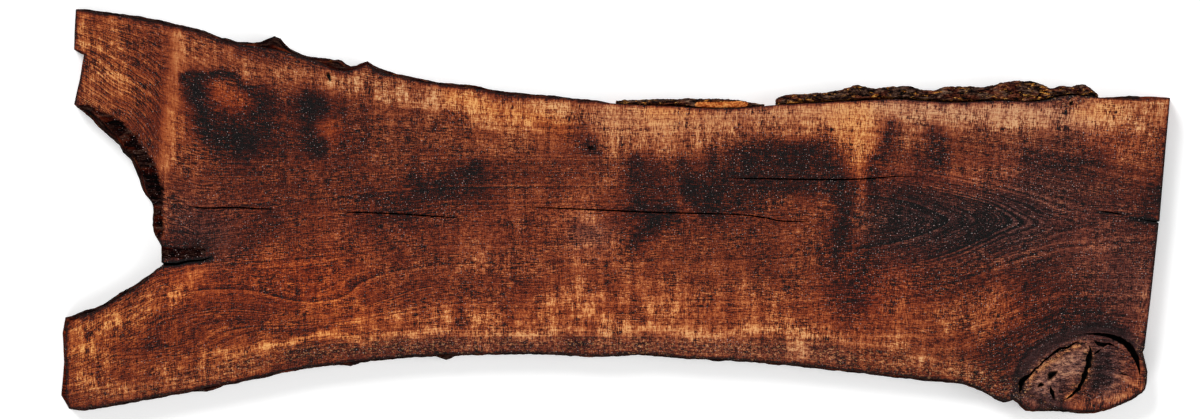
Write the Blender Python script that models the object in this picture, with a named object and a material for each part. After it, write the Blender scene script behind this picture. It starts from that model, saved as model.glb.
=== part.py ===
"""A live-edge wood slab: a board sawn from a forked trunk, with two strips of bark that have lifted off one edge.

The slab lies on its sawn underside, +Z up, with X along its length and its middle over the origin.
Lengths are in millimetres and angles in degrees until a mesh is made, which is in metres.
"""

import math
from collections import namedtuple

import bpy
import numpy as np
from mathutils import Vector, noise
from mathutils.geometry import delaunay_2d_cdt

MM = 0.001

# Driving dimensions
THICKNESS = 50.0
RIM_STEP = 8.5  # between points along a grown edge
SAWN_STEP = 22.0  # between points along a sawn end
WALL_LEVELS = (0.0, 0.1, 0.28, 0.5, 0.74, 0.92, 1.0)  # shares of the thickness, from the face down
FULL_REACH_AT = 0.45  # share of the thickness at which a grown edge has come out all the way
SEAT_GAP = 0.4  # between a bark strip and the wood that it clings to
SHARP_ANGLE = 38.0  # edges that turn more than this stay sharp in the shading

# Noise scales of the bark: long along the trunk, short across it
BARK_ALONG = 26.0
BARK_ACROSS = 9.0

# One stretch of the rim, walked anticlockwise from above. points are (x, y); reach is how far the wall stands out
# below the face, in even steps along the stretch; rough is the bark's depth; lumps are (x, height, half width).
Stretch = namedtuple("Stretch", "name points grown reach rough lumps")

RIM = (
    Stretch(
        "lower_edge",
        (
            (-873, -318), (-842, -318), (-756, -302), (-663, -285), (-586, -270), (-510, -254), (-433, -244),
            (-356, -236), (-279, -231), (-199, -229), (-106, -229), (-30, -233), (41, -230), (124, -236),
            (220, -241), (297, -248), (374, -256), (450, -264), (527, -272), (566, -278), (601, -294),
            (623, -306), (639, -302),
        ),
        True,
        (1, 3, 2, 1.5, 1.5, 1.5, 1.5, 1.5, 2, 3, 1),
        2.4,
        ((-650, 4, 14), (-423, 4, 12), (-270, 7, 11), (164, 3, 6)),
    ),
    Stretch(
        "knot_edge",
        (
            (639, -302), (650, -309), (660, -319), (681, -320), (700, -318), (729, -320), (758, -322), (783, -318),
            (809, -309), (833, -297), (844, -291), (849, -278), (850, -259), (847, -240), (845, -227), (848, -222),
        ),
        True,
        (1, 3, 3, 2, 1),
        2.4,
        (),
    ),
    Stretch("right_end_below_split", ((848, -222), (858, -141), (871, -21)), False, (0.5, 0.5), 0.3, ()),
    Stretch("end_split", ((871, -21), (822, -12), (872, -18)), False, (0, 0), 0.0, ()),
    Stretch("right_end_above_split", ((872, -18), (881, 88), (889, 179)), False, (0.5, 0.5), 0.3, ()),
    Stretch(
        "upper_edge_right",
        ((889, 179), (857, 178), (825, 177), (783, 179)),
        True,
        (1, 4, 4, 0),
        2.0,
        (),
    ),
    Stretch(
        "upper_edge_lifted",
        (
            (783, 179), (761, 182), (722, 183), (694, 177), (666, 173), (617, 175), (577, 173), (537, 172),
            (489, 175), (449, 177), (377, 174), (313, 171), (257, 168), (193, 163), (137, 163), (97, 166),
            (41, 168), (-7, 171),
        ),
        True,
        (0, 0),
        0.0,
        (),
    ),
    Stretch(
        "upper_edge_left",
        (
            (-7, 171), (-87, 178), (-167, 184), (-223, 194), (-279, 200), (-343, 212), (-380, 222), (-396, 233),
            (-412, 226), (-431, 222), (-455, 227), (-468, 234), (-506, 246), (-532, 254), (-577, 262),
            (-615, 267), (-679, 288), (-756, 305), (-804, 312), (-862, 321),
        ),
        True,
        (0, 3, 3.5, 3.5, 4, 4, 4, 3, 1.5),
        2.4,
        ((-547, 17, 17), (-447, 11, 22)),
    ),
    Stretch(
        "upper_prong_end",
        ((-862, 321), (-864, 258), (-848, 250), (-850, 237), (-855, 208), (-864, 170)),
        False,
        (1, 2, 2, 2, 2),
        0.4,
        (),
    ),
    Stretch(
        "fork_above_crotch",
        (
            (-864, 170), (-847, 162), (-835, 155), (-816, 140), (-795, 120), (-786, 108), (-782, 97), (-767, 85),
            (-756, 61), (-752, 42), (-747, 27), (-738, 11), (-736, -5), (-737, -24), (-734, -40), (-724, -58),
            (-725, -74), (-725, -84),
        ),
        True,
        (2, 7, 11, 10, 7, 7, 8, 6, 2, 1, 1, 0.5, 0),
        2.4,
        (),
    ),
    Stretch(
        "crotch_split",
        (
            (-725, -84), (-700, -84), (-684, -80), (-662, -79), (-641, -74), (-658, -82), (-682, -84),
            (-700, -89), (-726, -90),
        ),
        False,
        (0, 0),
        0.0,
        (),
    ),
    Stretch(
        "fork_below_crotch",
        ((-726, -90), (-751, -113), (-780, -132), (-810, -151), (-831, -162), (-855, -169), (-876, -175)),
        True,
        (0, 3, 4, 4, 4, 4, 2),
        2.4,
        (),
    ),
    Stretch(
        "lower_prong_end",
        ((-876, -175), (-879, -222), (-877, -264), (-878, -296), (-873, -318)),
        False,
        (5, 7, 4, 4, 8, 9, 5),
        0.5,
        (),
    ),
)

# Grooves in the face: (x, y) along each, its widths in even steps along it, and its depth
Groove = namedtuple("Groove", "name points widths depth")

CHECK_WIDTHS = (0, 1.6, 2.4, 2.2, 1.6, 0)
CHECK_DEPTH = 9.0
GROOVES = (
    Groove("check_at_crotch", ((-714, 14), (-689, 13)), (0, 1.6, 0), 5.0),
    Groove("check_left", ((-684, 7), (-654, 3), (-609, 4), (-566, 2), (-535, 1)), CHECK_WIDTHS, CHECK_DEPTH),
    Groove("check_middle_left", ((-446, -3), (-402, -4), (-350, -6), (-289, -10), (-234, -14)), CHECK_WIDTHS, CHECK_DEPTH),
    Groove("check_hairline", ((-158, -24), (-84, -29)), (0, 1.2, 0), 4.0),
    Groove(
        "check_middle",
        ((-148, 5), (-23, 0), (68, -4), (191, -7), (238, -12), (271, -18), (326, -18)),
        (0, 1.8, 2.4, 2.4, 1.8, 2.4, 0),
        CHECK_DEPTH,
    ),
    Groove(
        "check_upper_right",
        ((172, 51), (252, 50), (314, 49), (375, 49), (430, 52), (457, 54), (497, 53)),
        CHECK_WIDTHS,
        CHECK_DEPTH,
    ),
    Groove("check_at_end_split", ((777, -2), (801, -5), (817, -9)), (0, 1.6, 2.0, 0), 6.0),
    Groove(
        "gap_round_knot",
        (
            (710, -204), (730, -198), (754, -194), (780, -194), (801, -200), (817, -210), (829, -226),
            (836, -242), (841, -258), (841, -268),
        ),
        (0, 2, 4, 5, 7, 10, 13, 9, 6, 0),
        16.0,
    ),
    Groove(
        "knot_crack_left",
        (
            (648, -294), (650, -286), (652, -274), (666, -263), (674, -255), (687, -242), (702, -230),
            (714, -222), (726, -219), (738, -212), (748, -211),
        ),
        (0, 7, 6, 5, 3, 2, 2, 3, 2, 3, 0),
        9.0,
    ),
    Groove(
        "knot_crack_right",
        (
            (759, -216), (762, -226), (760, -238), (756, -253), (752, -267), (745, -282), (731, -297),
            (716, -306),
        ),
        (0, 7, 8, 8, 7, 6, 6, 0),
        12.0,
    ),
    Groove("knot_crack_top", ((766, -208), (775, -215), (783, -220), (793, -224)), (0, 5, 5, 0), 7.0),
    Groove("knot_crack_foot", ((698, -284), (700, -293), (702, -304)), (0, 4, 0), 7.0),
)

# Pits in the face: (x, y), half length, half width, direction of the length, depth
Pit = namedtuple("Pit", "x y long short turn depth")
PITS = (
    Pit(698, -268, 11, 5.5, 25, 9),
    Pit(-457, 213, 9, 3.5, -70, 6),
    Pit(731, 171, 5, 3, 60, 5),
    Pit(-38, 99, 5, 4, 0, 5),
)
PIT_SIDES = 8

# The knot stands a little below the face, and is uneven
KNOT_CENTRE = (747, -259)
KNOT_HALF = (92, 50)
KNOT_TURN = 12.0
KNOT_DROP = 2.2
KNOT_NOISE = 24.0
KNOT_STEP = 12.0
CLEAR_OF_GROOVE = 4.0

# Bark strips: the outer line that each one shows from above, how far its inner side stands off the wood at the
# top, in even steps along it, and its ridges
BarkStrip = namedtuple("BarkStrip", "name outer gap ridge")
STRIP_STEP = 7.0
STRIPS = (
    BarkStrip(
        "bark_strip_long",
        (
            (258, 178), (281, 185), (297, 186), (335, 189), (361, 192), (377, 197), (388, 200), (402, 198),
            (422, 195), (441, 197), (465, 200), (489, 194), (508, 192), (527, 197), (553, 198), (566, 200),
            (585, 197), (604, 200), (623, 205), (649, 207), (671, 206), (690, 201), (700, 196), (719, 200),
            (732, 196), (751, 201), (764, 195), (775, 187),
        ),
        (0.4, 2, 4, 4.5, 4, 3, 4, 4.5, 3.5, 0.4, 2.5, 2.5, 0.4),
        4.0,
    ),
    BarkStrip(
        "bark_strip_short",
        ((2, 175), (34, 176.5), (86, 178), (124, 179), (162, 179), (182, 178), (201, 176), (220, 172), (240, 169)),
        (0.4, 0.8, 3.5, 1.2, 0.4, 0.4),
        2.0,
    ),
)
# The section of a strip, from its inner foot up and over to its outer foot: (share of the way from the wood to the
# outer line, height as a share of the thickness, share of the ridges that it takes)
STRIP_SECTION = (
    (0.0, 0.14, 0.0),
    (0.0, 0.5, 0.0),
    (0.0, 0.78, 0.0),
    (0.0, 0.95, 0.0),
    (0.45, 0.97, 0.5),
    (0.8, 0.9, 1.0),
    (1.0, 0.74, 1.0),
    (0.9, 0.56, 1.0),
    (0.96, 0.4, 1.0),
    (0.7, 0.24, 0.6),
    (0.45, 0.12, 0.2),
)
# Shares of the gap at the top that the four inner points stand off
STRIP_LEAN = (0.0, 0.15, 0.75, 1.0)
LEAST_STRIP = 2.5
HIGHEST_STRIP = 0.985  # share of the thickness
# A strip is less tall towards its torn ends, and its top and foot are ragged
END_HEIGHT = 0.45
END_LENGTH = 45.0
RAGGED = 0.14
RAGGED_NOISE = 22.0


def spline(points, step):
    """Points every step or so along a Catmull-Rom curve through the given ones."""
    p = np.array(points, float)
    p = np.vstack([2 * p[0] - p[1], p, 2 * p[-1] - p[-2]])
    out = []
    for a, b, c, d in zip(p, p[1:], p[2:], p[3:]):
        count = max(1, round(np.linalg.norm(c - b) / step))
        for i in range(count):
            t = i / count
            out.append(
                0.5 * (2 * b + (c - a) * t + (2 * a - 5 * b + 4 * c - d) * t**2 + (3 * b - a - 3 * c + d) * t**3)
            )
    return np.array(out + [p[-2]])


def polyline(points, step):
    """Points every step or so along straight runs, corners kept."""
    p = np.array(points, float)
    out = []
    for a, b in zip(p, p[1:]):
        count = max(1, round(np.linalg.norm(b - a) / step))
        out += [a + (b - a) * i / count for i in range(count)]
    return np.array(out + [p[-1]])


def along(points):
    """How far each point is along its line, from 0 to 1."""
    run = np.concatenate([[0], np.cumsum(np.linalg.norm(np.diff(points, axis=0), axis=1))])
    return run / run[-1]


def evenly(values, share):
    """The values, given in even steps, at each share of the way."""
    return np.interp(share, np.linspace(0, 1, len(values)), values)


def lump(x, centre, height, half):
    """A rounded swelling on an edge that runs along X."""
    return height * np.exp(-(((x - centre) / half) ** 2))


def rim_of(stretches):
    """The rim's points, with the reach and the roughness of the wall at each, as three arrays."""
    points, reach, rough = [], [], []
    for stretch in stretches:
        step = RIM_STEP if stretch.grown else SAWN_STEP
        line = (spline if stretch.grown else polyline)(stretch.points, step)
        share = along(line)
        out = evenly(stretch.reach, share)
        for centre, height, half in stretch.lumps:
            out = out + lump(line[:, 0], centre, height, half)
        fade = np.clip(np.minimum(share, 1 - share) * 12, 0, 1)
        points.append(line[:-1])
        reach.append(out[:-1])
        rough.append(stretch.rough * fade[:-1])
    return np.vstack(points), np.concatenate(reach), np.concatenate(rough)


def outward(points):
    """The unit normals of a closed line walked anticlockwise."""
    ahead = np.roll(points, -1, axis=0) - points
    behind = points - np.roll(points, 1, axis=0)
    way = ahead / np.linalg.norm(ahead, axis=1)[:, None] + behind / np.linalg.norm(behind, axis=1)[:, None]
    normal = np.column_stack([way[:, 1], -way[:, 0]])
    return normal / np.maximum(np.linalg.norm(normal, axis=1), 1e-6)[:, None]


def bark_noise(x, y, z):
    """Furrows that run along the trunk, from -1 to 1."""
    broad = noise.noise(Vector((x / BARK_ALONG, y / BARK_ALONG, z / BARK_ACROSS)))
    fine = noise.noise(Vector((x / BARK_ACROSS, y / BARK_ACROSS, z / BARK_ACROSS + 7.3)))
    return broad + 0.5 * fine


def wall_ring(rim, normals, reach, rough, share):
    """The rim moved out to where the wall is at this share of the thickness."""
    z = THICKNESS * (1 - share)
    out = reach * math.sin(0.5 * math.pi * min(1.0, share / FULL_REACH_AT))
    furrow = np.array([bark_noise(x, y, z) for x, y in rim]) * rough * min(1.0, share / WALL_LEVELS[1])
    ring = rim + normals * (out + furrow)[:, None]
    return np.column_stack([ring, np.full(len(ring), z)])


def knot_mask(x, y):
    """1 in the middle of the knot, falling to 0 at its edge."""
    turn = math.radians(KNOT_TURN)
    dx, dy = x - KNOT_CENTRE[0], y - KNOT_CENTRE[1]
    u = (dx * math.cos(turn) + dy * math.sin(turn)) / KNOT_HALF[0]
    v = (dy * math.cos(turn) - dx * math.sin(turn)) / KNOT_HALF[1]
    return max(0.0, min(1.0, 3 * (1 - math.hypot(u, v))))


def face_height(x, y):
    """The height of the face, grooves and pits aside."""
    uneven = 0.5 + 0.5 * noise.noise(Vector((x / KNOT_NOISE, y / KNOT_NOISE, 0)))
    return THICKNESS - KNOT_DROP * knot_mask(x, y) * uneven


def groove_lines(groove):
    """The left lip, bottom and right lip of a groove, as arrays of (x, y, z) that share their two ends."""
    line = spline(groove.points, RIM_STEP)
    way = np.gradient(line, axis=0)
    side = np.column_stack([-way[:, 1], way[:, 0]]) / np.linalg.norm(way, axis=1)[:, None]
    half = evenly(groove.widths, along(line)) / 2
    widest = max(groove.widths) / 2
    lips = [line + side * half[:, None] * sign for sign in (1, -1)]
    left, right = [np.array([(x, y, face_height(x, y)) for x, y in lip]) for lip in lips]
    bottom = np.array([(x, y, face_height(x, y)) for x, y in line])
    bottom[:, 2] -= groove.depth * np.sqrt(half / widest)
    return left, bottom, right


def add_line(points, edges, line, closed=False):
    """Appends a line and the edges along it, and returns its first index."""
    first = len(points)
    points += [tuple(p) for p in line]
    edges += [(first + i, first + i + 1) for i in range(len(line) - 1)]
    if closed:
        edges.append((len(points) - 1, first))
    return first


def add_groove(points, edges, groove):
    """The lips and the bottom meet at both tips, so those are added once."""
    left, bottom, right = groove_lines(groove)
    first = add_line(points, edges, bottom)
    last = len(points) - 1
    for lip in (left, right):
        start = add_line(points, edges, lip[1:-1])
        edges += [(first, start), (len(points) - 1, last)]


def add_pit(points, edges, pit):
    """A ring at the face round one point at the bottom."""
    turn = math.radians(pit.turn)
    ring = []
    for i in range(PIT_SIDES):
        angle = 2 * math.pi * i / PIT_SIDES
        u, v = pit.long * math.cos(angle), pit.short * math.sin(angle)
        x = pit.x + u * math.cos(turn) - v * math.sin(turn)
        y = pit.y + u * math.sin(turn) + v * math.cos(turn)
        ring.append((x, y, face_height(x, y)))
    add_line(points, edges, ring, closed=True)
    points.append((pit.x, pit.y, face_height(pit.x, pit.y) - pit.depth))


def add_knot_points(points):
    """A loose grid over the knot, clear of what is there already."""
    taken = np.array([p[:2] for p in points])
    for row, y in enumerate(np.arange(KNOT_CENTRE[1] - KNOT_HALF[1], KNOT_CENTRE[1] + KNOT_HALF[1], KNOT_STEP)):
        shift = KNOT_STEP / 2 * (row % 2)
        for x in np.arange(KNOT_CENTRE[0] - KNOT_HALF[0] + shift, KNOT_CENTRE[0] + KNOT_HALF[0], KNOT_STEP):
            clear = np.linalg.norm(taken - (x, y), axis=1).min() > CLEAR_OF_GROOVE
            if clear and knot_mask(x, y) > 0.05:
                points.append((x, y, face_height(x, y)))


def triangulated(points, edges):
    """The triangles inside the constraints, as corners in the given points."""
    flat = [Vector(p[:2]) for p in points]
    made, _, faces, origins, _, _ = delaunay_2d_cdt(flat, edges, [], 1, 1e-6)
    if len(made) != len(points):
        raise ValueError("two lines on the face cross or touch")
    return [tuple(origins[i][0] for i in face) for face in faces]


def mesh_object(name, vertices, faces, material):
    """An object whose vertices are given in millimetres."""
    mesh = bpy.data.meshes.new(name)
    mesh.from_pydata([Vector(v) * MM for v in vertices], [], faces)
    mesh.validate()
    mesh.shade_smooth()
    mesh.set_sharp_from_angle(angle=math.radians(SHARP_ANGLE))
    mesh.materials.append(material)
    obj = bpy.data.objects.new(name, mesh)
    bpy.context.scene.collection.objects.link(obj)
    return obj


def wood_slab(material):
    """The board: a flat underside, a wall of rings, and a face with its checks, pits and knot."""
    rim, reach, rough = rim_of(RIM)
    normals = outward(rim)
    count = len(rim)
    top = [(x, y, face_height(x, y)) for x, y in rim]

    points, edges = [], []
    add_line(points, edges, top, closed=True)
    for groove in GROOVES:
        add_groove(points, edges, groove)
    for pit in PITS:
        add_pit(points, edges, pit)
    add_knot_points(points)
    faces = triangulated(points, edges)

    vertices = list(points)
    above = list(range(count))
    for share in WALL_LEVELS[1:]:
        below = list(range(len(vertices), len(vertices) + count))
        vertices += [tuple(v) for v in wall_ring(rim, normals, reach, rough, share)]
        for i in range(count):
            j = (i + 1) % count
            faces.append((above[i], below[i], below[j], above[j]))
        above = below
    floor = [vertices[i] for i in above]
    ring_edges = [(i, (i + 1) % count) for i in range(count)]
    faces += [tuple(above[i] for i in reversed(face)) for face in triangulated(floor, ring_edges)]
    return mesh_object("slab", vertices, faces, material)


def wood_edge(x):
    """How far out the wood's upper edge is at this x."""
    lifted = [s for s in RIM if s.name == "upper_edge_lifted"][0]
    line = spline(lifted.points, RIM_STEP)[::-1]
    return np.interp(x, line[:, 0], line[:, 1])


def strip_section(x, from_end, edge, outer, gap, ridge):
    """One section of a bark strip, as points round it."""
    width = max(LEAST_STRIP, outer - edge - SEAT_GAP)
    tall = END_HEIGHT + (1 - END_HEIGHT) * math.sqrt(min(1.0, from_end / END_LENGTH))
    section = []
    for i, (share, height, rough) in enumerate(STRIP_SECTION):
        ragged = 1 + RAGGED * noise.noise(Vector((x / RAGGED_NOISE, 0, round(height))))
        z = THICKNESS * min(HIGHEST_STRIP, 0.5 + (height - 0.5) * tall * ragged)
        lean = gap * STRIP_LEAN[i] if i < len(STRIP_LEAN) else 0.0
        furrow = ridge * rough * bark_noise(x, share * BARK_ALONG, z)
        y = edge + SEAT_GAP + max(lean, share * width + furrow)
        section.append((x, y, z))
    return section


def bark_strip(strip, material):
    """A strip of bark that clings to the upper edge by its foot and leans away from it at the top."""
    outer = spline(strip.outer, STRIP_STEP / 2)
    start, end = outer[0][0], outer[-1][0]
    stations = np.linspace(start, end, 1 + round((end - start) / STRIP_STEP))
    gaps = evenly(strip.gap, np.linspace(0, 1, len(stations)))
    sections = [
        strip_section(x, min(x - start, end - x), wood_edge(x), np.interp(x, *outer.T), gap, strip.ridge)
        for x, gap in zip(stations, gaps)
    ]
    round_it = len(STRIP_SECTION)
    vertices = [point for section in sections for point in section]
    faces = [tuple(range(round_it))]
    for k in range(len(sections) - 1):
        for i in range(round_it):
            j = (i + 1) % round_it
            a, b = k * round_it, (k + 1) * round_it
            faces.append((a + i, b + i, b + j, a + j))
    last = (len(sections) - 1) * round_it
    faces.append(tuple(last + i for i in reversed(range(round_it))))
    return mesh_object(strip.name, vertices, faces, material)


def make_material(name, colour, roughness):
    """A plain finish."""
    made = bpy.data.materials.new(name)
    made.use_nodes = True
    shader = made.node_tree.nodes["Principled BSDF"]
    shader.inputs["Base Color"].default_value = (*colour, 1)
    shader.inputs["Roughness"].default_value = roughness
    shader.inputs["Metallic"].default_value = 0
    return made


def centre_over_origin(objects):
    """Places the objects so that the whole stands on Z = 0 with its box centred over the origin."""
    corners = np.array([v.co for obj in objects for v in obj.data.vertices])
    low, high = corners.min(axis=0), corners.max(axis=0)
    for obj in objects:
        obj.location = (-(low[0] + high[0]) / 2, -(low[1] + high[1]) / 2, -low[2])


def main():
    for obj in list(bpy.data.objects):
        bpy.data.objects.remove(obj)
    wood = make_material("oiled_wood", (0.17, 0.055, 0.022), 0.5)
    bark = make_material("bark", (0.055, 0.036, 0.026), 0.85)
    objects = [wood_slab(wood)] + [bark_strip(strip, bark) for strip in STRIPS]
    centre_over_origin(objects)


main()
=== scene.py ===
"""The looks of a live-edge wood slab: its fine surface, figure, bark and light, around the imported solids.

Lengths are in millimetres, in the drawing that the solids were made from, until a mesh is made. The wood's
figure is placed in the photograph's pixels, which PIXEL and PHOTO_ORIGIN carry over to the same drawing.
"""

import math
from collections import defaultdict, namedtuple
from types import SimpleNamespace

import bpy
import numpy as np
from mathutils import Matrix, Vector, noise
from mathutils.bvhtree import BVHTree
from mathutils.geometry import delaunay_2d_cdt
from mathutils.kdtree import KDTree


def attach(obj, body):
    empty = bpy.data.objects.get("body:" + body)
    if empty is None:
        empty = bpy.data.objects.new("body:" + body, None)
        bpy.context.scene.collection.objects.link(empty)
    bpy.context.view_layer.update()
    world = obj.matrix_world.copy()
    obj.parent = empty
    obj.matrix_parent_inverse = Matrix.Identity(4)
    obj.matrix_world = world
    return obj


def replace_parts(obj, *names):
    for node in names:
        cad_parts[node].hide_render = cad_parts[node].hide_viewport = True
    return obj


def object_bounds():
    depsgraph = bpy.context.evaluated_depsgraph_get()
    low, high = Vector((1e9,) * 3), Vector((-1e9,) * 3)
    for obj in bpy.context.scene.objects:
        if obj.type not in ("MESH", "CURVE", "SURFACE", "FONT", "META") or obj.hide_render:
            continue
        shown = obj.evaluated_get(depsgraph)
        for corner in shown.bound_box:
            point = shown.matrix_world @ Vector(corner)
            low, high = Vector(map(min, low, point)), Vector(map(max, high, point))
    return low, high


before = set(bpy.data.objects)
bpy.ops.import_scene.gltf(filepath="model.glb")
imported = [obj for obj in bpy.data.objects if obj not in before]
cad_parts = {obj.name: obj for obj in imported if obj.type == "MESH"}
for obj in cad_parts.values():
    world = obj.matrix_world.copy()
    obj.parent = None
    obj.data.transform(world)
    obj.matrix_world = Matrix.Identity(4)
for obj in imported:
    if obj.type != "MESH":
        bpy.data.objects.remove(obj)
CAD_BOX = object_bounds()

MM = 0.001
THICKNESS = 50.0
SHIFT = np.array((-1.361, 2.296))  # from the drawing to the object's own frame
PIXEL = 1.6  # millimetres on the slab
PHOTO_ORIGIN = (614.5, 210.0)  # the pixel over the drawing's origin
PHOTO_SIZE = (1200, 419)

# Spacing of the fine mesh
FACE_STEP = 4.6
KNOT_STEP = 2.5
RIM_STEP = 3.0
GROOVE_STEP = 4.0
UNDER_STEP = 12.0
JITTER = 0.18  # of a step
PIT_SIDES = 12
PIT_RINGS = ((1.0, 0.0), (0.6, 0.75))  # shares of size and depth
SHARP_ANGLE = 42.0

# The walls, level by level from the face down
WALL_LEVELS = (0.012, 0.045, 0.1, 0.17, 0.26, 0.36, 0.47, 0.58, 0.69, 0.8, 0.9, 0.97, 1.0)
SPLIT_SHUT = ((0, 0.2, 0.7, 1), (0.15, 0.98, 1.0, 0.7))  # levels, and how far the two splits close there
WALL_RIDGES = (2.6, (46, 1, 9), 5.0)  # height, scale and seed
WALL_ROUGH = ((0.9, (14, 1, 5), 6.0), (0.5, (5, 1, 3), 7.0))  # the same
SAWN_ROUGH = ((0.15, 5.0, 8.0),)
GROWN_ROUGH = ((0.45, 8.0, 1.0),)  # of the rim itself
WALL_RAYS = (0.5, 45.0)  # how far inside the rim they start, and how long they are
SPLIT_RAYS = (0.3, 12.0)  # how far outside the rim, and the same
FACE_LEVEL = 0.93  # how upright the normals of the CAD face are at least
FACE_DROP = 4.0  # how far below the top the CAD face goes at most
RIM_FADE = 3.0  # how far in from the rim the face is darkened

# Parts of the rim, as boxes: lowest x, highest x, lowest y, highest y
FAR = 1e4
RIGHT_END = (843, FAR, -224, FAR)
UPPER_LEFT_END = (-FAR, -845, 168, FAR)
LOWER_LEFT_END = (-FAR, -845, -FAR, -173)
CROTCH = (-730, -638, -93, -72)
END_SPLIT = (818, FAR, -24, -8)
LIFTED = (-8, 780, 155, FAR)
ROUND_SPLITS = ((800, FAR, -26, 2), (-730, -640, -96, -64))

# The lifted bark
BARK_SCALES = ((15, 7, 5), (6, 3, 3), 2.2)  # of its ridges, finer ones and crumbs
BARK_HEIGHTS = (1.7, 1.1, 0.45)
BARK_SUNK = 1.6
BARK_REACH = 8.0  # how far off the slab it may be
BARK_HANGS_ON = ((2, 10, 34, 44), (0, 1, 1, 0))  # heights, and how far it reaches to the slab there
BARE_WOOD = np.array(((134, 168), (170, 168), (209, 170)), float)  # a lens without bark on the short strip
GOLDEN_SWIRL = (687, 196)

# The knot, which stands a little below the face
KNOT_CENTRE = (747.0, -259.0)
KNOT_HALF = (92.0, 50.0)
KNOT_REACH = (110.0, 72.0)  # of the finer mesh
KNOT_TURN = 12.0
KNOT_DROP = 2.2
KNOT_NOISE = 24.0
KNOT_ROUGH = ((0.9, 9.0, 4.0), (0.7, 4.5, 9.0))  # heights, scales and seeds
KNOT_LIP = (  # x and y of each point, in pixels
    1019, 392, 1022, 374, 1034, 356, 1052, 342, 1072, 333, 1092, 329, 1110, 330, 1126, 336, 1139, 348,
)
LIP_HALF = 7.5
LIP_VALLEY = (1.3, 3.2)  # depth and half width
KNOT_SUNK = 0.9

# Grooves in the face: points, full widths in even steps, depth and how jagged the lips are
Groove = namedtuple("Groove", "points widths depth jagged")
CHECK_WIDTHS = (0, 2.2, 2.6, 2.8, 2.6, 2.8, 2.4, 1.8, 0)
CHECK_DEPTH = 9.0
GROOVES = (
    Groove(((-714, 14), (-689, 13)), (0, 1.6, 0), 5.0, 0.3),
    Groove(((-684, 7), (-654, 3), (-609, 4), (-566, 2), (-535, 1)), CHECK_WIDTHS, CHECK_DEPTH, 0.5),
    Groove(((-446, -3), (-402, -4), (-350, -6), (-289, -10), (-234, -14)), CHECK_WIDTHS, CHECK_DEPTH, 0.5),
    Groove(((-158, -24), (-84, -29)), (0, 1.2, 0), 4.0, 0.3),
    Groove(
        ((-148, 5), (-23, 0), (68, -4), (191, -7), (238, -12), (271, -18), (326, -18)),
        (0, 2.2, 2.4, 2.8, 3.0, 2.8, 2.6, 2.2, 2.0, 2.6, 2.2, 0),
        CHECK_DEPTH,
        0.5,
    ),
    Groove(
        ((172, 51), (252, 50), (314, 49), (375, 49), (430, 52), (457, 54), (497, 53)),
        CHECK_WIDTHS,
        CHECK_DEPTH,
        0.5,
    ),
    Groove(((772, -1), (801, -5), (817, -9)), (0, 2.2, 2.6, 2.6, 0), 7.0, 0.4),
    # Round the knot and across it
    Groove(
        ((745, -199), (764, -198), (783, -200), (799, -204), (815, -211), (826, -222), (834, -235),
         (839, -251), (841, -268)),
        (0, 2.5, 4.5, 6.5, 9, 12, 12, 9, 5, 0),
        18.0,
        1.2,
    ),
    Groove(
        ((648, -294), (650, -286), (652, -274), (666, -263), (674, -255), (687, -242), (702, -230),
         (714, -222), (726, -219), (738, -212), (748, -211)),
        (0, 9, 7, 4, 3, 3, 3.5, 5, 4, 4, 0),
        12.0,
        2.6,
    ),
    Groove(
        ((759, -216), (762, -226), (760, -238), (756, -253), (752, -267), (745, -282), (731, -297),
         (716, -306)),
        (0, 8, 10, 9, 8, 8, 7, 5, 3, 0),
        12.0,
        2.6,
    ),
    Groove(((766, -208), (774, -214), (782, -216), (792, -214), (802, -219)), (0, 8, 6, 5, 0), 9.0, 1.8),
    Groove(((766, -232), (773, -227), (779, -222)), (0, 5, 0), 7.0, 1.0),
    Groove(((802, -262), (816, -263), (830, -268)), (0, 2.4, 0), 5.0, 0.6),
    Groove(((697, -281), (700, -292), (705, -305)), (0, 5, 7, 5, 0), 9.0, 1.6),
)
GROOVE_SIDES = ((1.0, 0.0), (0.8, 0.6))  # shares of half width and depth: the lip, and the side below it
CRACK_SHADE_DEPTHS = (2.4, 4.2)  # how far down a crack the painted shade starts to turn it black, and where it is fully black
CRACK_SHADE_REACH = 14.0  # how far from its middle line a crack's painted shade reaches

# Pits in the face: place, half length, half width, direction of the length, depth
Pit = namedtuple("Pit", "x y long short turn depth")
PITS = (
    Pit(700, -264, 11, 6.5, 40, 12),
    Pit(682, -280, 6, 4, 20, 8),
    Pit(-457, 213, 9, 3.5, -70, 6),
    Pit(731, 171, 5, 3, 60, 5),
    Pit(-38, 99, 5, 4, 0, 5),
)

# Lines that the grain follows, in the photograph's pixels, from the lower edge to the upper one
GRAIN_LINES = (
    (0.0, ((60, 412), (185, 395), (300, 370), (400, 356), (500, 353), (640, 354), (850, 370), (1000, 396),
           (1170, 396))),
    (0.16, ((60, 396), (160, 372), (260, 350), (330, 338), (450, 333), (700, 334), (850, 336), (960, 352),
            (1000, 344), (1060, 322), (1170, 330))),
    (0.45, ((62, 322), (110, 295), (160, 267), (215, 256), (300, 250), (450, 240), (700, 236), (1170, 240))),
    (0.55, ((75, 104), (100, 118), (130, 150), (150, 190), (162, 226), (200, 236), (300, 222), (450, 206),
            (700, 200), (1170, 205))),
    (1.0, ((75, 8), (180, 26), (300, 68), (400, 86), (500, 98), (640, 104), (800, 99), (1170, 94))),
)
ACROSS = 400.0  # millimetres of grain coordinate from edge to edge

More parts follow.
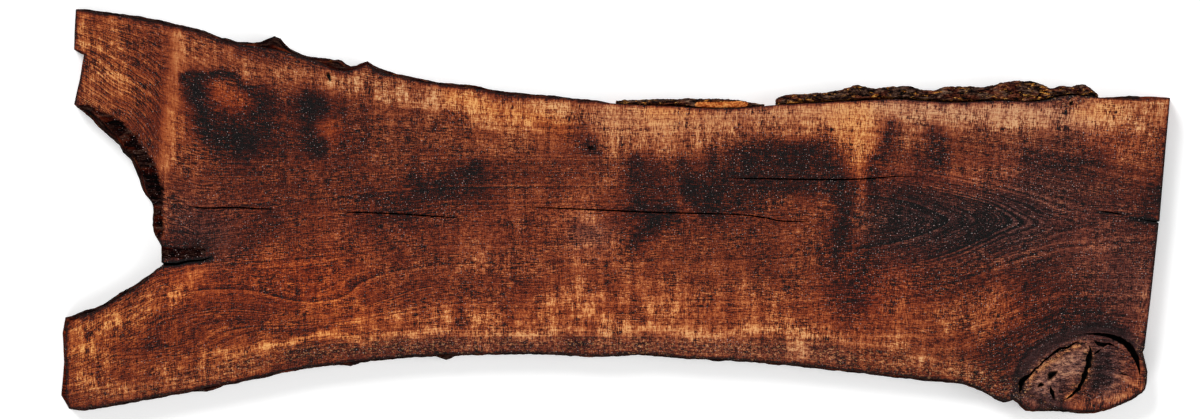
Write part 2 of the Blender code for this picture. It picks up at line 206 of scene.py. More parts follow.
# Growth rings. A hump is a height, then its middle and half width across the photograph, and the same down.
HEART_LINE = ((160, 450, 900, 990, 1060, 1170), (262, 226, 222, 224, 208, 186))
ARROWHEADS = (75, 960, 140, 100)  # height, middle, half length and half width
RING_HUMPS = (
    (22, 112, 36, 84, 30), (-46, 322, 70, 300, 26), (-30, 170, 60, 345, 18), (34, 228, 55, 112, 46),
    (24, 315, 30, 125, 34), (26, 1085, 80, 366, 44),
)
CLEAR_RINGS = (
    (1.1, 970, 90, 222, 36), (0.5, 290, 170, 290, 50), (0.35, 500, 120, 185, 30), (0.6, 112, 50, 84, 46),
    (0.5, 1085, 50, 366, 30),
)
RINGS_SHOW = 0.35  # elsewhere than on the humps of CLEAR_RINGS
SAW_LEAN = ((100, 600, 1150), (-0.02, 0.0, 0.075))
SAW_LEVEL = 220

# The figure: soft strokes in the photograph's pixels. A group has a kind and how slowly its edges fade. Its
# strokes run from left to right, and each is an amount, a half width, and x and y for each point of a line.
# Those with KNOT_LIP follow the rolled lip of the knot.
FIGURE = {}
FIGURE["dark", 0.3] = (
    (0.9, 7, 162, 248, 186, 250, 200, 248),
    (1, 4.5, 184, 79, 192, 76, 206, 77, 220, 74, 232, 76, 242, 85, 250, 92), (1, 14, 308, 101, 317, 106),
    (1, 11, 314, 146, 319, 147), (0.7, 4, 413, 176, 420, 186, 432, 191, 450, 188, 466, 178, 478, 166),
    (0.82, 12, 736, 158, 760, 153, 800, 152, 826, 152), (0.76, 13, 1105, 362, 1101, 376, 1093, 387),
)
FIGURE["dark", 0.35] = (
    (1, 10, 195, 84, 199, 98, 203, 114, 208, 130), (1, 12, 232, 136, 246, 142),
    (1, 7, 634, 161, 636, 180, 640, 202), (1, 16, 696, 192, 712, 198),
    (0.7, 12, 740, 170, 780, 168, 834, 168), (0.95, 5.5, 873, 158, 872, 184, 873, 212),
    (0.95, 8, 933, 130, 937, 144, 938, 160), (0.5, 5, *KNOT_LIP),
)
FIGURE["dark", 0.4] = (
    (0.8, 2, 162, 263, 186, 262, 214, 260), (0.25, 26, 212, 100, 240, 130, 262, 120),
    (0.8, 10, 212, 132, 222, 142, 236, 146), (0.9, 6, 307, 114, 306, 134), (0.95, 3, 436, 127, 439, 128),
    (1, 5, 588, 146, 593, 148), (0.9, 7, 667, 219, 652, 224, 640, 236, 634, 244),
    (0.9, 5, 712, 151, 714, 168, 722, 178), (0.8, 8, 724, 184, 722, 204, 716, 212),
    (1, 11, 840, 238, 842, 246, 836, 256), (0.95, 9, 844, 190, 846, 206, 846, 222),
    (0.45, 24, 892, 212, 960, 214, 1020, 224), (0.9, 6, 893, 124, 890, 138, 884, 156),
    (1, 14, 900, 220, 950, 226, 982, 224),
    (0.9, 2, 1013, 380, 1018, 366, 1030, 350, 1049, 336, 1070, 327, 1110, 324, 1130, 331),
    (0.7, 2, 1095, 211, 1128, 217, 1160, 222), (0.7, 7, 1154, 192, 1150, 206, 1145, 217),
)
FIGURE["dark", 0.45] = (
    (0.85, 8, 414, 181, 428, 187, 446, 184, 474, 170), (0.8, 8, 746, 188, 790, 186, 850, 188),
)
FIGURE["dark", 0.5] = (
    (0.5, 12, 182, 236, 206, 240), (0.14, 30, 200, 200, 300, 190, 420, 190, 560, 178),
    (0.8, 10, 256, 94, 262, 110, 260, 126),
    (0.42, 6, 300, 352, 370, 350, 440, 344, 520, 346, 600, 344, 690, 346, 770, 346),
    (0.65, 7, 342, 99, 344, 120, 343, 142), (0.6, 6, 364, 100, 366, 122, 362, 144),
    (0.7, 4.5, 460, 314, 460, 328), (0.9, 5, 576, 345, 582, 345), (0.6, 8, 632, 214, 650, 217, 668, 216),
    (0.22, 30, 640, 185, 700, 190, 820, 190), (0.8, 5, 680, 161, 681, 176, 688, 184),
    (0.3, 58, 700, 200, 860, 210, 1000, 222, 1140, 236), (0.8, 7, 740, 202, 758, 205),
    (0.3, 26, 850, 290, 900, 296, 960, 286, 1060, 285), (0.7, 12, 892, 228, 876, 246, 864, 262),
    (0.9, 8, 896, 196, 940, 206, 985, 220), (0.6, 9, 900, 246, 940, 248, 985, 236),
    (0.5, 8, 914, 156, 928, 162), (0.16, 9, 930, 132, 985, 132), (0.6, 12, 990, 366, 1010, 352),
    (0.25, 10, 1024, 182, 1074, 183), (0.5, 7, 1026, 390, 1036, 400, 1048, 405),
    (0.85, 8, 1028, 158, 1060, 163, 1096, 160), (0.5, 9, 1032, 398, 1050, 402),
    (0.4, 6, 1040, 98, 1060, 102, 1088, 100), (0.4, 6, 1046, 356, 1062, 346, 1090, 339, 1112, 343),
    (0.45, 9, 1084, 134, 1100, 138, 1122, 138), (0.5, 1.8, 1094, 404, 1104, 402, 1116, 406),
    (0.6, 1.8, 1108, 396, 1118, 388, 1130, 386), (0.14, 16, 1130, 250, 1134, 300),
    (0.5, 5, 1130, 358, 1134, 384, 1126, 386),
)
FIGURE["dark", 0.6] = (
    (0.5, 3, 110, 373, 160, 377, 215, 370, 262, 361), (0.3, 12, 122, 108, 140, 132),
    (0.3, 10, 128, 352, 160, 356), (0.45, 3.5, 150, 347, 190, 349, 222, 344),
    (0.3, 11, 152, 40, 156, 100, 152, 150), (0.55, 6, 164, 306, 160, 326, 156, 346),
    (0.3, 16, 176, 226, 215, 222, 262, 212, 290, 196), (0.3, 12, 190, 316, 250, 312, 284, 296),
    (0.45, 17, 212, 156, 245, 162, 276, 150), (0.55, 10, 218, 122, 236, 120, 252, 112),
    (0.5, 2.5, 238, 321, 265, 328, 300, 330, 330, 325, 352, 314), (0.5, 5, 240, 54, 266, 56, 290, 60),
    (0.35, 14, 270, 92, 284, 116, 280, 140), (0.55, 7, 274, 222, 256, 238, 242, 252, 232, 262),
    (0.4, 7, 343, 142, 342, 162), (0.2, 14, 350, 165, 346, 200), (0.6, 10, 368, 198, 388, 205, 410, 208),
    (0.5, 12, 370, 220, 402, 212), (0.25, 14, 400, 296, 430, 300), (0.2, 18, 410, 250, 520, 240, 590, 250),
    (0.75, 13, 434, 196, 456, 196, 474, 190), (0.5, 6, 448, 114, 458, 118), (0.45, 4, 450, 114, 458, 116),
    (0.5, 2.5, 461, 298, 461, 312), (0.25, 10, 466, 283, 516, 286), (0.35, 7, 492, 96, 520, 100),
    (0.45, 3, 510, 306, 510, 322), (0.5, 9, 578, 128, 580, 140), (0.5, 4, 586, 106, 589, 126, 590, 142),
    (0.5, 5, 588, 324, 592, 332), (0.5, 5, 598, 154, 604, 168), (0.45, 12, 652, 164, 658, 190, 655, 206),
    (0.3, 6, 709, 300, 711, 322), (0.35, 8, 748, 124, 766, 122), (0.4, 10, 752, 234, 762, 248, 760, 266),
    (0.35, 12, 846, 296, 848, 320), (0.5, 9, 866, 264, 858, 284, 852, 300), (0.45, 8, 924, 284, 968, 280),
    (0.5, 10, 996, 382, 1014, 384), (0.6, 12, 1000, 348, 1024, 334, 1050, 322, 1090, 316, 1130, 326),
    (0.3, 22, 1010, 196, 1066, 198, 1124, 200), (0.45, 8, 1034, 270, 1030, 290, 1024, 306),
    (0.55, 8, 1044, 324, 1066, 308, 1098, 312),
)
FIGURE["dark", 0.7] = (
    (0.28, 10, 402, 148, 448, 152), (0.3, 14, 480, 174, 512, 178, 560, 178),
)
FIGURE["light", 0.3] = (
    (0.9, 6, 176, 34, 178, 58, 174, 90, 169, 130, 165, 165),
)
FIGURE["light", 0.35] = (
    (0.95, 21, 856, 112, 858, 134),
)
FIGURE["light", 0.4] = (
    (0.6, 9, 222, 92, 231, 98, 240, 102), (0.5, 7, 328, 132, 338, 135), (0.9, 12, 856, 140, 858, 158),
    (1.4, 1.5, 1027, 386, 1033, 376, 1049, 363, 1066, 351, 1080, 346),
    (0.85, 12, 1044, 384, 1060, 370, 1080, 354),
    (1.2, 1.5, 1093, 352, 1091, 366, 1086, 380, 1074, 392, 1064, 400),
)
FIGURE["light", 0.45] = (
    (1.2, 2.6, 245, 351, 285, 343, 315, 333, 345, 336, 362, 341, 378, 337, 404, 333, 450, 332, 500,
     334, 520, 336, 560, 331, 600, 332),
    (1.5, 2.6, 600, 332, 650, 328, 700, 334, 716, 335, 742, 330, 790, 330, 815, 338),
    (1.35, 10, 876, 112, 920, 117, 960, 118, 1000, 119, 1060, 118, 1100, 118),
    (0.85, 11, 1092, 402, 1120, 398, 1134, 386),
)
FIGURE["light", 0.5] = (
    (0.16, 28, 76, 350, 150, 345, 200, 350), (0.5, 4, 165, 222, 164, 242), (0.4, 6, 167, 165, 165, 212),
    (0.5, 11, 186, 56, 230, 64, 260, 74, 300, 80, 340, 84), (0.25, 6, 336, 128, 334, 148),
    (0.8, 12, 340, 84, 390, 92, 430, 96, 470, 100),
    (0.45, 13, 340, 326, 430, 320, 520, 322, 580, 314, 640, 326, 720, 320, 800, 330, 850, 332),
    (1.1, 10, 452, 96, 480, 104, 500, 108, 540, 106, 570, 112), (0.5, 5, 470, 343, 500, 348),
    (0.6, 5, 474, 348, 488, 350), (0.25, 9, 500, 122, 545, 128, 572, 122),
    (0.8, 9, 540, 104, 640, 108, 700, 106, 800, 102, 870, 102), (0.25, 18, 578, 216, 590, 240, 612, 254),
    (1.15, 14, 600, 116, 630, 118, 660, 120), (0.8, 12, 606, 134, 640, 138, 664, 140),
    (0.7, 7, 652, 112, 680, 106, 700, 104), (1.25, 12, 664, 122, 700, 124, 760, 116, 800, 116, 850, 118),
    (0.5, 8, 668, 150, 684, 148, 690, 136), (0.5, 4, 674, 184, 680, 204, 688, 214),
    (0.4, 8, 696, 140, 708, 148), (0.12, 14, 700, 224, 740, 226, 744, 250),
    (0.35, 8, 768, 206, 800, 202, 822, 208), (0.8, 6, 772, 126, 788, 134, 812, 132),
    (0.3, 8, 780, 236, 812, 226, 828, 222), (0.9, 5, 790, 350, 806, 350), (0.5, 8, 800, 102, 880, 100),
    (0.6, 5, 859, 160, 861, 190, 862, 224, 854, 254), (0.95, 6, 892, 104, 930, 106, 1000, 106, 1030, 108),
    (0.5, 5, 924, 116, 930, 130), (0.35, 7, 1036, 394, 1050, 400), (1, 9, 1080, 108, 1110, 109, 1118, 112),
    (0.9, 6, 1090, 100, 1116, 99, 1130, 99), (0.35, 10, 1094, 147, 1145, 148),
    (0.4, 8, 1098, 346, 1110, 348, 1124, 358), (0.35, 8, 1116, 372, 1120, 380),
)
FIGURE["light", 0.6] = (
    (0.25, 8, 84, 16, 112, 20, 140, 28), (0.45, 12, 84, 60, 96, 78, 104, 92),
    (0.5, 12, 84, 384, 150, 380, 200, 374, 250, 362), (0.15, 10, 88, 330, 112, 320, 136, 316),
    (0.8, 10, 88, 340, 108, 332), (0.3, 24, 90, 52, 98, 76, 104, 92),
    (0.3, 5, 140, 318, 182, 290, 212, 264), (0.3, 9, 188, 112, 190, 165),
    (0.38, 7, 192, 278, 178, 292, 162, 304), (0.12, 26, 460, 262, 560, 262, 690, 270, 790, 262),
    (0.25, 13, 470, 128, 500, 140, 556, 146), (0.4, 7, 540, 344, 640, 344, 700, 346, 770, 350),
    (0.2, 12, 560, 296, 620, 296, 700, 288, 790, 296), (0.35, 12, 690, 300, 704, 318, 704, 334),
    (0.4, 7, 805, 336, 850, 340, 900, 336), (0.3, 14, 882, 290, 890, 274),
    (0.5, 14, 896, 316, 950, 316, 1004, 312), (0.3, 7, 900, 134, 908, 150, 900, 168),
    (0.35, 8, 900, 356, 960, 368, 985, 376), (0.34, 12, 955, 174, 1006, 174),
    (0.35, 8, 998, 290, 1010, 304), (0.3, 12, 1088, 232, 1098, 250),
    (1.05, 13, 1118, 112, 1140, 108, 1166, 106), (0.1, 14, 1130, 128, 1150, 134),
    (0.85, 10, 1152, 292, 1146, 322),
)
FIGURE["light", 0.7] = (
    (0.2, 14, 520, 190, 516, 215, 470, 245), (0.25, 10, 600, 176, 580, 215, 582, 270, 590, 320),
)
FIGURE["grey", 0.3] = (
    (1, 22, 1048, 382, 1066, 366, 1100, 360, 1102, 376),
)
FIGURE["grey", 0.35] = (
    (0.9, 6, *KNOT_LIP),
)
FIGURE["grey", 0.4] = (
    (0.85, 28, 890, 220, 1010, 222), (0.5, 44, 1050, 200, 1080, 224, 1130, 280),
)
FIGURE["grey", 0.5] = (
    (0.6, 20, 186, 226, 214, 240),
    (0.3, 8, 300, 352, 370, 350, 440, 344, 520, 346, 600, 344, 690, 346, 840, 356),
    (0.8, 10, 1034, 392, 1050, 402),
)
FIGURE["grey", 0.6] = (
    (0.7, 10, 584, 232, 598, 236), (0.35, 12, 600, 120, 660, 122, 780, 114, 840, 112),
    (0.5, 12, 880, 104, 960, 108, 1030, 108, 1080, 116),
)
FIGURE["warm", 0.35] = (
    (1, 52, 70, 350, 160, 330, 250, 325, 330, 312),
)
FIGURE["warm", 0.4] = (
    (1, 13, 222, 94, 234, 102, 240, 108), (1, 9, 330, 128, 338, 136),
    (0.8, 22, 852, 128, 860, 160, 860, 250), (1, 3, 1027, 386, 1033, 376, 1049, 363, 1066, 351, 1080, 346),
    (1, 3, 1093, 352, 1091, 366, 1086, 380, 1074, 392, 1064, 400),
)
FIGURE["warm", 0.5] = (
    (0.8, 5, 165, 222, 164, 242), (0.8, 24, 170, 272, 250, 278, 330, 284),
    (0.9, 8, 452, 96, 480, 104, 540, 120, 566, 130), (0.25, 30, 570, 210, 620, 250, 720, 240, 800, 214),
    (0.8, 8, 650, 112, 690, 108), (0.7, 8, 1080, 112, 1112, 112),
    (0.4, 13, 1092, 402, 1120, 398, 1134, 384),
)
FIGURE["warm", 0.6] = (
    (0.6, 26, 90, 30, 120, 80, 160, 120), (0.5, 40, 90, 30, 140, 60, 150, 130),
    (0.6, 26, 330, 320, 500, 316, 700, 312, 860, 312, 1000, 314), (0.45, 16, 470, 118, 600, 126, 850, 124),
)
FIGURE["red", 0.4] = (
    (0.35, 13, 222, 98, 238, 106), (0.3, 9, 330, 128, 338, 136),
)
FIGURE["red", 0.5] = (
    (0.7, 24, 176, 274, 250, 276, 330, 280), (0.7, 18, 868, 290, 900, 284),
    (0.7, 16, 880, 190, 950, 180, 1010, 182), (0.5, 16, 1010, 304, 1070, 294),
    (0.5, 14, 1086, 232, 1098, 256), (0.5, 14, 1094, 147, 1145, 148),
)
FIGURE["red", 0.6] = (
    (0.45, 46, 320, 230, 450, 235, 590, 235), (0.35, 26, 340, 310, 600, 308, 860, 312),
)
FIGURE["crumb", 0.5] = (
    (0.5, 8, 90, 396, 150, 388, 230, 374),
    (0.8, 7, 230, 366, 290, 354, 340, 350, 400, 346, 470, 344, 560, 344, 640, 344),
    (0.85, 9, 640, 345, 720, 348, 800, 352, 860, 358, 920, 368, 980, 378),
    (0.6, 9, 986, 380, 1004, 392, 1016, 388),
    (1, 3.5, 1024, 392, 1031, 376, 1047, 362, 1066, 349, 1083, 343), (0.35, 8, 1034, 396, 1048, 402),
    (0.7, 6, 1040, 96, 1064, 100, 1090, 98), (0.9, 3, 1089, 350, 1091, 360, 1084, 381, 1076, 390),
    (1, 3, 1134, 340, 1142, 348, 1146, 362, 1147, 380, 1147, 394),
)
FIGURE["bark", 0.2] = (
    (1, 5, 160, 252, 186, 253, 200, 251),
)
FIGURE["bark", 0.3] = (
    (1, 6, 84, 110, 108, 121, 126, 138, 140, 156, 150, 178, 155, 200, 158, 232),
)
FIGURE["bark", 0.5] = (
    (0.8, 2.5, 64, 320, 100, 302, 130, 286, 156, 268), (0.4, 4, 1028, 394, 1040, 400, 1052, 405),
)
FIGURE["bark", 0.6] = (
    (0.6, 5, 112, 124, 134, 138, 150, 165, 158, 190),
)
FIGURE["calm", 0.3] = (
    (0.9, 8, 173, 26, 175, 58, 171, 90, 166, 130, 162, 165), (0.6, 26, 1050, 380, 1080, 364, 1100, 366),
)
FIGURE["calm", 0.35] = (
    (1, 6, *KNOT_LIP),
)
FIGURE["calm", 0.4] = (
    (0.5, 34, 205, 100, 240, 125), (0.5, 24, 312, 104, 318, 146),
)
MOST_LIGHT = 1.7  # what overlapping pale strokes lead up to, where the others lead up to 1
WARP = ((7.0, 60.0), (3.0, 14.0))  # pixels that the strokes stray, and over what distance
WARP_SEEDS = (3.1, 8.7)
LEAN = 0.07  # pixels that the figure moves for each millimetre down
DEEPER = 1.5  # how much faster the warp changes downwards


def spline(points, step):
    """Points every step or so along a Catmull-Rom curve through the given ones."""
    p = np.array(points, float)
    p = np.vstack([2 * p[0] - p[1], p, 2 * p[-1] - p[-2]])
    out = []
    for a, b, c, d in zip(p, p[1:], p[2:], p[3:]):
        count = max(1, round(np.linalg.norm(c - b) / step))
        square, cube = 2 * a - 5 * b + 4 * c - d, 3 * b - a - 3 * c + d
        for i in range(count):
            t = i / count
            out.append(0.5 * (2 * b + (c - a) * t + square * t**2 + cube * t**3))
    return np.array(out + [p[-2]])


def along(points):
    """How far each point is along its line, from 0 to 1."""
    run = np.concatenate([[0], np.cumsum(np.linalg.norm(np.diff(points, axis=0), axis=1))])
    return run / run[-1]


def evenly(values, share):
    """The values, given in even steps, at each share of the way."""
    return np.interp(share, np.linspace(0, 1, len(values)), values)


def noise_at(points, scale, seed=0.0):
    """Smooth noise from -1 to 1 at each point; scale is how wide its features are, overall or by axis."""
    scaled = np.asarray(points, float) / scale
    if scaled.shape[1] == 2:
        scaled = np.column_stack([scaled, np.zeros(len(scaled))])
    return np.array([noise.noise(Vector(p)) for p in scaled + seed])


def rough(points, layers, base=0.0):
    """The base and some layers of noise, each with its height, scale and seed."""
    return sum((height * noise_at(points, scale, seed) for height, scale, seed in layers), base)


def to_photo(xy):
    """Pixels of the photograph over points of the drawing."""
    return np.column_stack([xy[:, 0] / PIXEL + PHOTO_ORIGIN[0], PHOTO_ORIGIN[1] - xy[:, 1] / PIXEL])


def from_photo(pixels):
    """Points of the drawing under pixels of the photograph, given as a row of x and y."""
    return (np.reshape(pixels, (-1, 2)) - PHOTO_ORIGIN) * (PIXEL, -PIXEL)


def smooth(values, low, high):
    """0 below low, 1 above high, and an S between."""
    t = np.clip((values - low) / (high - low), 0, 1)
    return t * t * (3 - 2 * t)


def within(points, box):
    """Which points lie in a box of the drawing."""
    x, y = points.T
    return (x > box[0]) & (x < box[1]) & (y > box[2]) & (y < box[3])


def distance_to_line(points, line):
    """The distance from each point to a line of straight runs."""
    best = np.full(len(points), 1e9)
    for a, b in zip(line, line[1:]):
        run = b - a
        t = np.clip(((points - a) @ run) / max(run @ run, 1e-9), 0, 1)
        best = np.minimum(best, np.linalg.norm(points - (a + t[:, None] * run), axis=1))
    return best


def grain_coordinates(photo):
    """How far along the trunk and how far across it each point is, in millimetres, edges followed."""
    x, y = photo.T
    rows = np.array([np.interp(x, *np.array(line, float).T) for _, line in GRAIN_LINES])
    values = [value for value, _ in GRAIN_LINES]
    across = np.full(len(x), float(values[0]))
    for low, high, v0, v1 in zip(rows, rows[1:], values, values[1:]):
        t = (low - y) / np.maximum(low - high, 1e-6)
        across = np.where(y < low, v0 + (v1 - v0) * np.clip(t, 0, None), across)
    return x * PIXEL, across * ACROSS


def humps(photo, rows):
    """The sum of some smooth humps on the photograph."""
    x, y = photo.T
    return sum(h * np.exp(-(((x - mx) / wx) ** 2) - ((y - my) / wy) ** 2) for h, mx, wx, my, wy in rows)


def ring_coordinate(photo, across, depth):
    """A value whose level lines are the growth rings, which run along the trunk or nest like arrowheads."""
    x, y = photo.T
    height, middle, half_length, half_width = ARROWHEADS
    heart = np.hypot(np.interp(x, *HEART_LINE) - y, 3)
    ring = np.hypot(across - 0.5 * ACROSS, 5 + 0.9 * depth)
    ring = ring + height * np.tanh((x - middle) / half_length) * np.exp(-heart / half_width)
    return ring + humps(photo, RING_HUMPS)


def saw_coordinate(photo):
    """How far along the trunk the saw was, in millimetres: its marks lean over towards the right end."""
    x, y = photo.T
    return PIXEL * (x + (y - SAW_LEVEL) * np.interp(x, *SAW_LEAN))


def figure(xy, depth):
    """The wood's named values at points of the drawing, some way below the face."""
    photo = to_photo(xy)
    photo[:, 1] += LEAN * depth
    deep = np.column_stack([xy, DEEPER * depth])
    warp = [rough(deep, [(far, scale, seed) for far, scale in WARP]) for seed in WARP_SEEDS]
    warp = np.column_stack(warp)
    out = {kind: np.zeros(len(xy)) for kind, _ in FIGURE}
    for (kind, soft), strokes in FIGURE.items():
        most = MOST_LIGHT if kind == "light" else 1.0
        near = photo + warp * soft
        for amount, half, *line in strokes:
            far = distance_to_line(near, np.array(line, float).reshape(-1, 2)) / half
            value = amount / (1 + np.exp(np.clip((far - 1) / soft, -30, 30)))
            out[kind] = most * (1 - (1 - out[kind] / most) * (1 - value / most))
    u, v = grain_coordinates(photo)
    out["grain"] = np.column_stack([u, v, depth])
    out["ring"] = ring_coordinate(photo + 0.5 * warp, v, depth)
    out["ringed"] = RINGS_SHOW + humps(photo, CLEAR_RINGS)
    out["saw"] = saw_coordinate(photo)
    return out


# The CAD slab, read for its rim and its walls


def outline_edges(mesh, where, same):
    """For each point on the border of the mesh's top face, the points that follow it."""
    mesh.calc_loop_triangles()
    edges = set()
    for triangle in mesh.loop_triangles:
        a, b, c = [where[i] for i in triangle.vertices]
        normal = np.cross(b - a, c - a)
        size = np.linalg.norm(normal)
        low = min(a[2], b[2], c[2]) < THICKNESS - FACE_DROP
        if low or size < 1e-9 or normal[2] / size < FACE_LEVEL:
            continue
        i, j, k = [int(same[v]) for v in triangle.vertices]
        edges.update(((i, j), (j, k), (k, i)))
    following = defaultdict(list)
    for a, b in edges:
        if (b, a) not in edges:
            following[a].append(b)
    return following


def top_rim(mesh):
    """The CAD slab's top edge as points of the drawing, anticlockwise: the longest loop round its face."""
    where = np.array([v.co for v in mesh.vertices]) / MM
    _, same = np.unique(np.round(where, 2), axis=0, return_inverse=True)
    same = same.ravel()
    place = {int(s): where[i] for i, s in enumerate(same)}
    following = outline_edges(mesh, where, same)
    loops = []
    while following:
        start = next(iter(following))
        loop = [start]
        while loop[-1] in following:
            onward = following[loop[-1]]
            step = onward.pop()
            if not onward:
                del following[loop[-1]]
            if step == start:
                break
            loop.append(step)
        loops.append(np.array([place[i][:2] for i in loop]))
    longest = max(loops, key=lambda loop: np.linalg.norm(np.diff(loop, axis=0), axis=1).sum())
    return longest - SHIFT


def finer(loop, step):
    """A closed line with each run cut into pieces of about step."""
    out = []
    for a, b in zip(loop, np.roll(loop, -1, axis=0)):
        count = max(1, round(np.linalg.norm(b - a) / step))
        out += [a + (b - a) * i / count for i in range(count)]
    return np.array(out)


def outward(points):
    """The unit normals of a closed line walked anticlockwise."""
    ahead = np.roll(points, -1, axis=0) - points
    behind = points - np.roll(points, 1, axis=0)
    way = sum(v / np.linalg.norm(v, axis=1)[:, None] for v in (ahead, behind))
    normal = np.column_stack([way[:, 1], -way[:, 0]])
    return normal / np.maximum(np.linalg.norm(normal, axis=1), 1e-6)[:, None]


def tree_of(mesh):
    return BVHTree.FromPolygons([v.co for v in mesh.vertices], [p.vertices for p in mesh.polygons])


def wall_offsets(tree, rim, normals, z):
    """How far out the CAD wall is from the rim at this height."""
    out = []
    back, reach = WALL_RAYS
    for (x, y), (nx, ny) in zip(rim + SHIFT, normals):
        start = Vector((x - back * nx, y - back * ny, z)) * MM
        hit, _, _, far = tree.ray_cast(start, Vector((nx, ny, 0)), reach * MM)
        out.append(far / MM - back if hit else 0.0)
    return np.array(out)


def half_gaps(tree, rim, normals):
    """Half the width of the two splits at each point of the rim, and 0 away from them."""
    out = np.zeros(len(rim))
    ahead, reach = SPLIT_RAYS
    for i in np.flatnonzero(within(rim, ROUND_SPLITS[0]) | within(rim, ROUND_SPLITS[1])):
        way = Vector((*normals[i], 0))
        start = Vector((*(rim[i] + SHIFT), THICKNESS - 3)) * MM + way * ahead * MM
        hit, _, _, far = tree.ray_cast(start, way, reach * MM)
        out[i] = (far / MM + ahead) / 2 if hit else 0.0
    return out


def edge_kinds(rim, normals):
    """1 where the rim grew and 0 elsewhere, and which of it is split or lies behind lifted bark."""
    left_ends = (within(rim, UPPER_LEFT_END) | within(rim, LOWER_LEFT_END)) & (normals[:, 0] < -0.6)
    still = within(rim, LIFTED) | within(rim, CROTCH) | within(rim, END_SPLIT)
    grown = 1.0 - (within(rim, RIGHT_END) | left_ends | still)
    for _ in range(3):
        grown = (np.roll(grown, 1) + grown + np.roll(grown, -1)) / 3 * (grown > 0)
    return grown, still


def knot_mask(xy):
    """1 in the middle of the knot, falling to 0 at its edge."""
    turn = math.radians(KNOT_TURN)
    d = xy - KNOT_CENTRE
    u = (d[:, 0] * math.cos(turn) + d[:, 1] * math.sin(turn)) / KNOT_HALF[0]
    v = (d[:, 1] * math.cos(turn) - d[:, 0] * math.sin(turn)) / KNOT_HALF[1]
    return np.clip(3 * (1 - np.hypot(u, v)), 0, 1)


def face_height(xy):
    """The height of the face, grooves and pits aside."""
    uneven = 0.5 + 0.5 * noise_at(xy, KNOT_NOISE)
    lip = distance_to_line(xy, from_photo(KNOT_LIP))
    valley = LIP_VALLEY[0] * np.exp(-(((lip - LIP_HALF) / LIP_VALLEY[1]) ** 2))
    off_lip = 1 - np.exp(-((lip / LIP_HALF) ** 4))
    drop = KNOT_DROP * uneven + rough(xy, KNOT_ROUGH) + KNOT_SUNK
    return THICKNESS - knot_mask(xy) * off_lip * drop - valley


def groove_lines(groove, seed):
    """The lines of a groove: its bottom, then each jagged lip and the steep side below that lip."""
    line = spline(groove.points, GROOVE_STEP)
    way = np.gradient(line, axis=0)
    side = np.column_stack([-way[:, 1], way[:, 0]]) / np.linalg.norm(way, axis=1)[:, None]
    half = evenly(groove.widths, along(line)) / 2
    wobble = noise_at(line, 9.0, seed) * groove.jagged * np.minimum(1, half)
    line = line + side * (0.5 * wobble)[:, None]
    depth = groove.depth * np.sqrt(half / half.max())
    sides = []
    for k, sign in enumerate((1, -1)):
        ragged = half * (1 + (0.3 + 0.14 * groove.jagged) * noise_at(line, 5.0, seed + 2.5 * (k + 1)))
        for reach, down in GROOVE_SIDES:
            edge = line + side * (reach * ragged)[:, None] * sign
            sides.append(np.column_stack([edge, face_height(edge) - down * depth]))
    return np.column_stack([line, face_height(line) - depth]), sides


def inside(points, ring):
    """Whether each point lies inside a closed line."""
    x, y = points.T
    odd = np.zeros(len(points), bool)
    for (ax, ay), (bx, by) in zip(ring, np.roll(ring, -1, axis=0)):
        if ay != by:
            odd ^= ((ay > y) != (by > y)) & (x < ax + (y - ay) / (by - ay) * (bx - ax))
    return odd


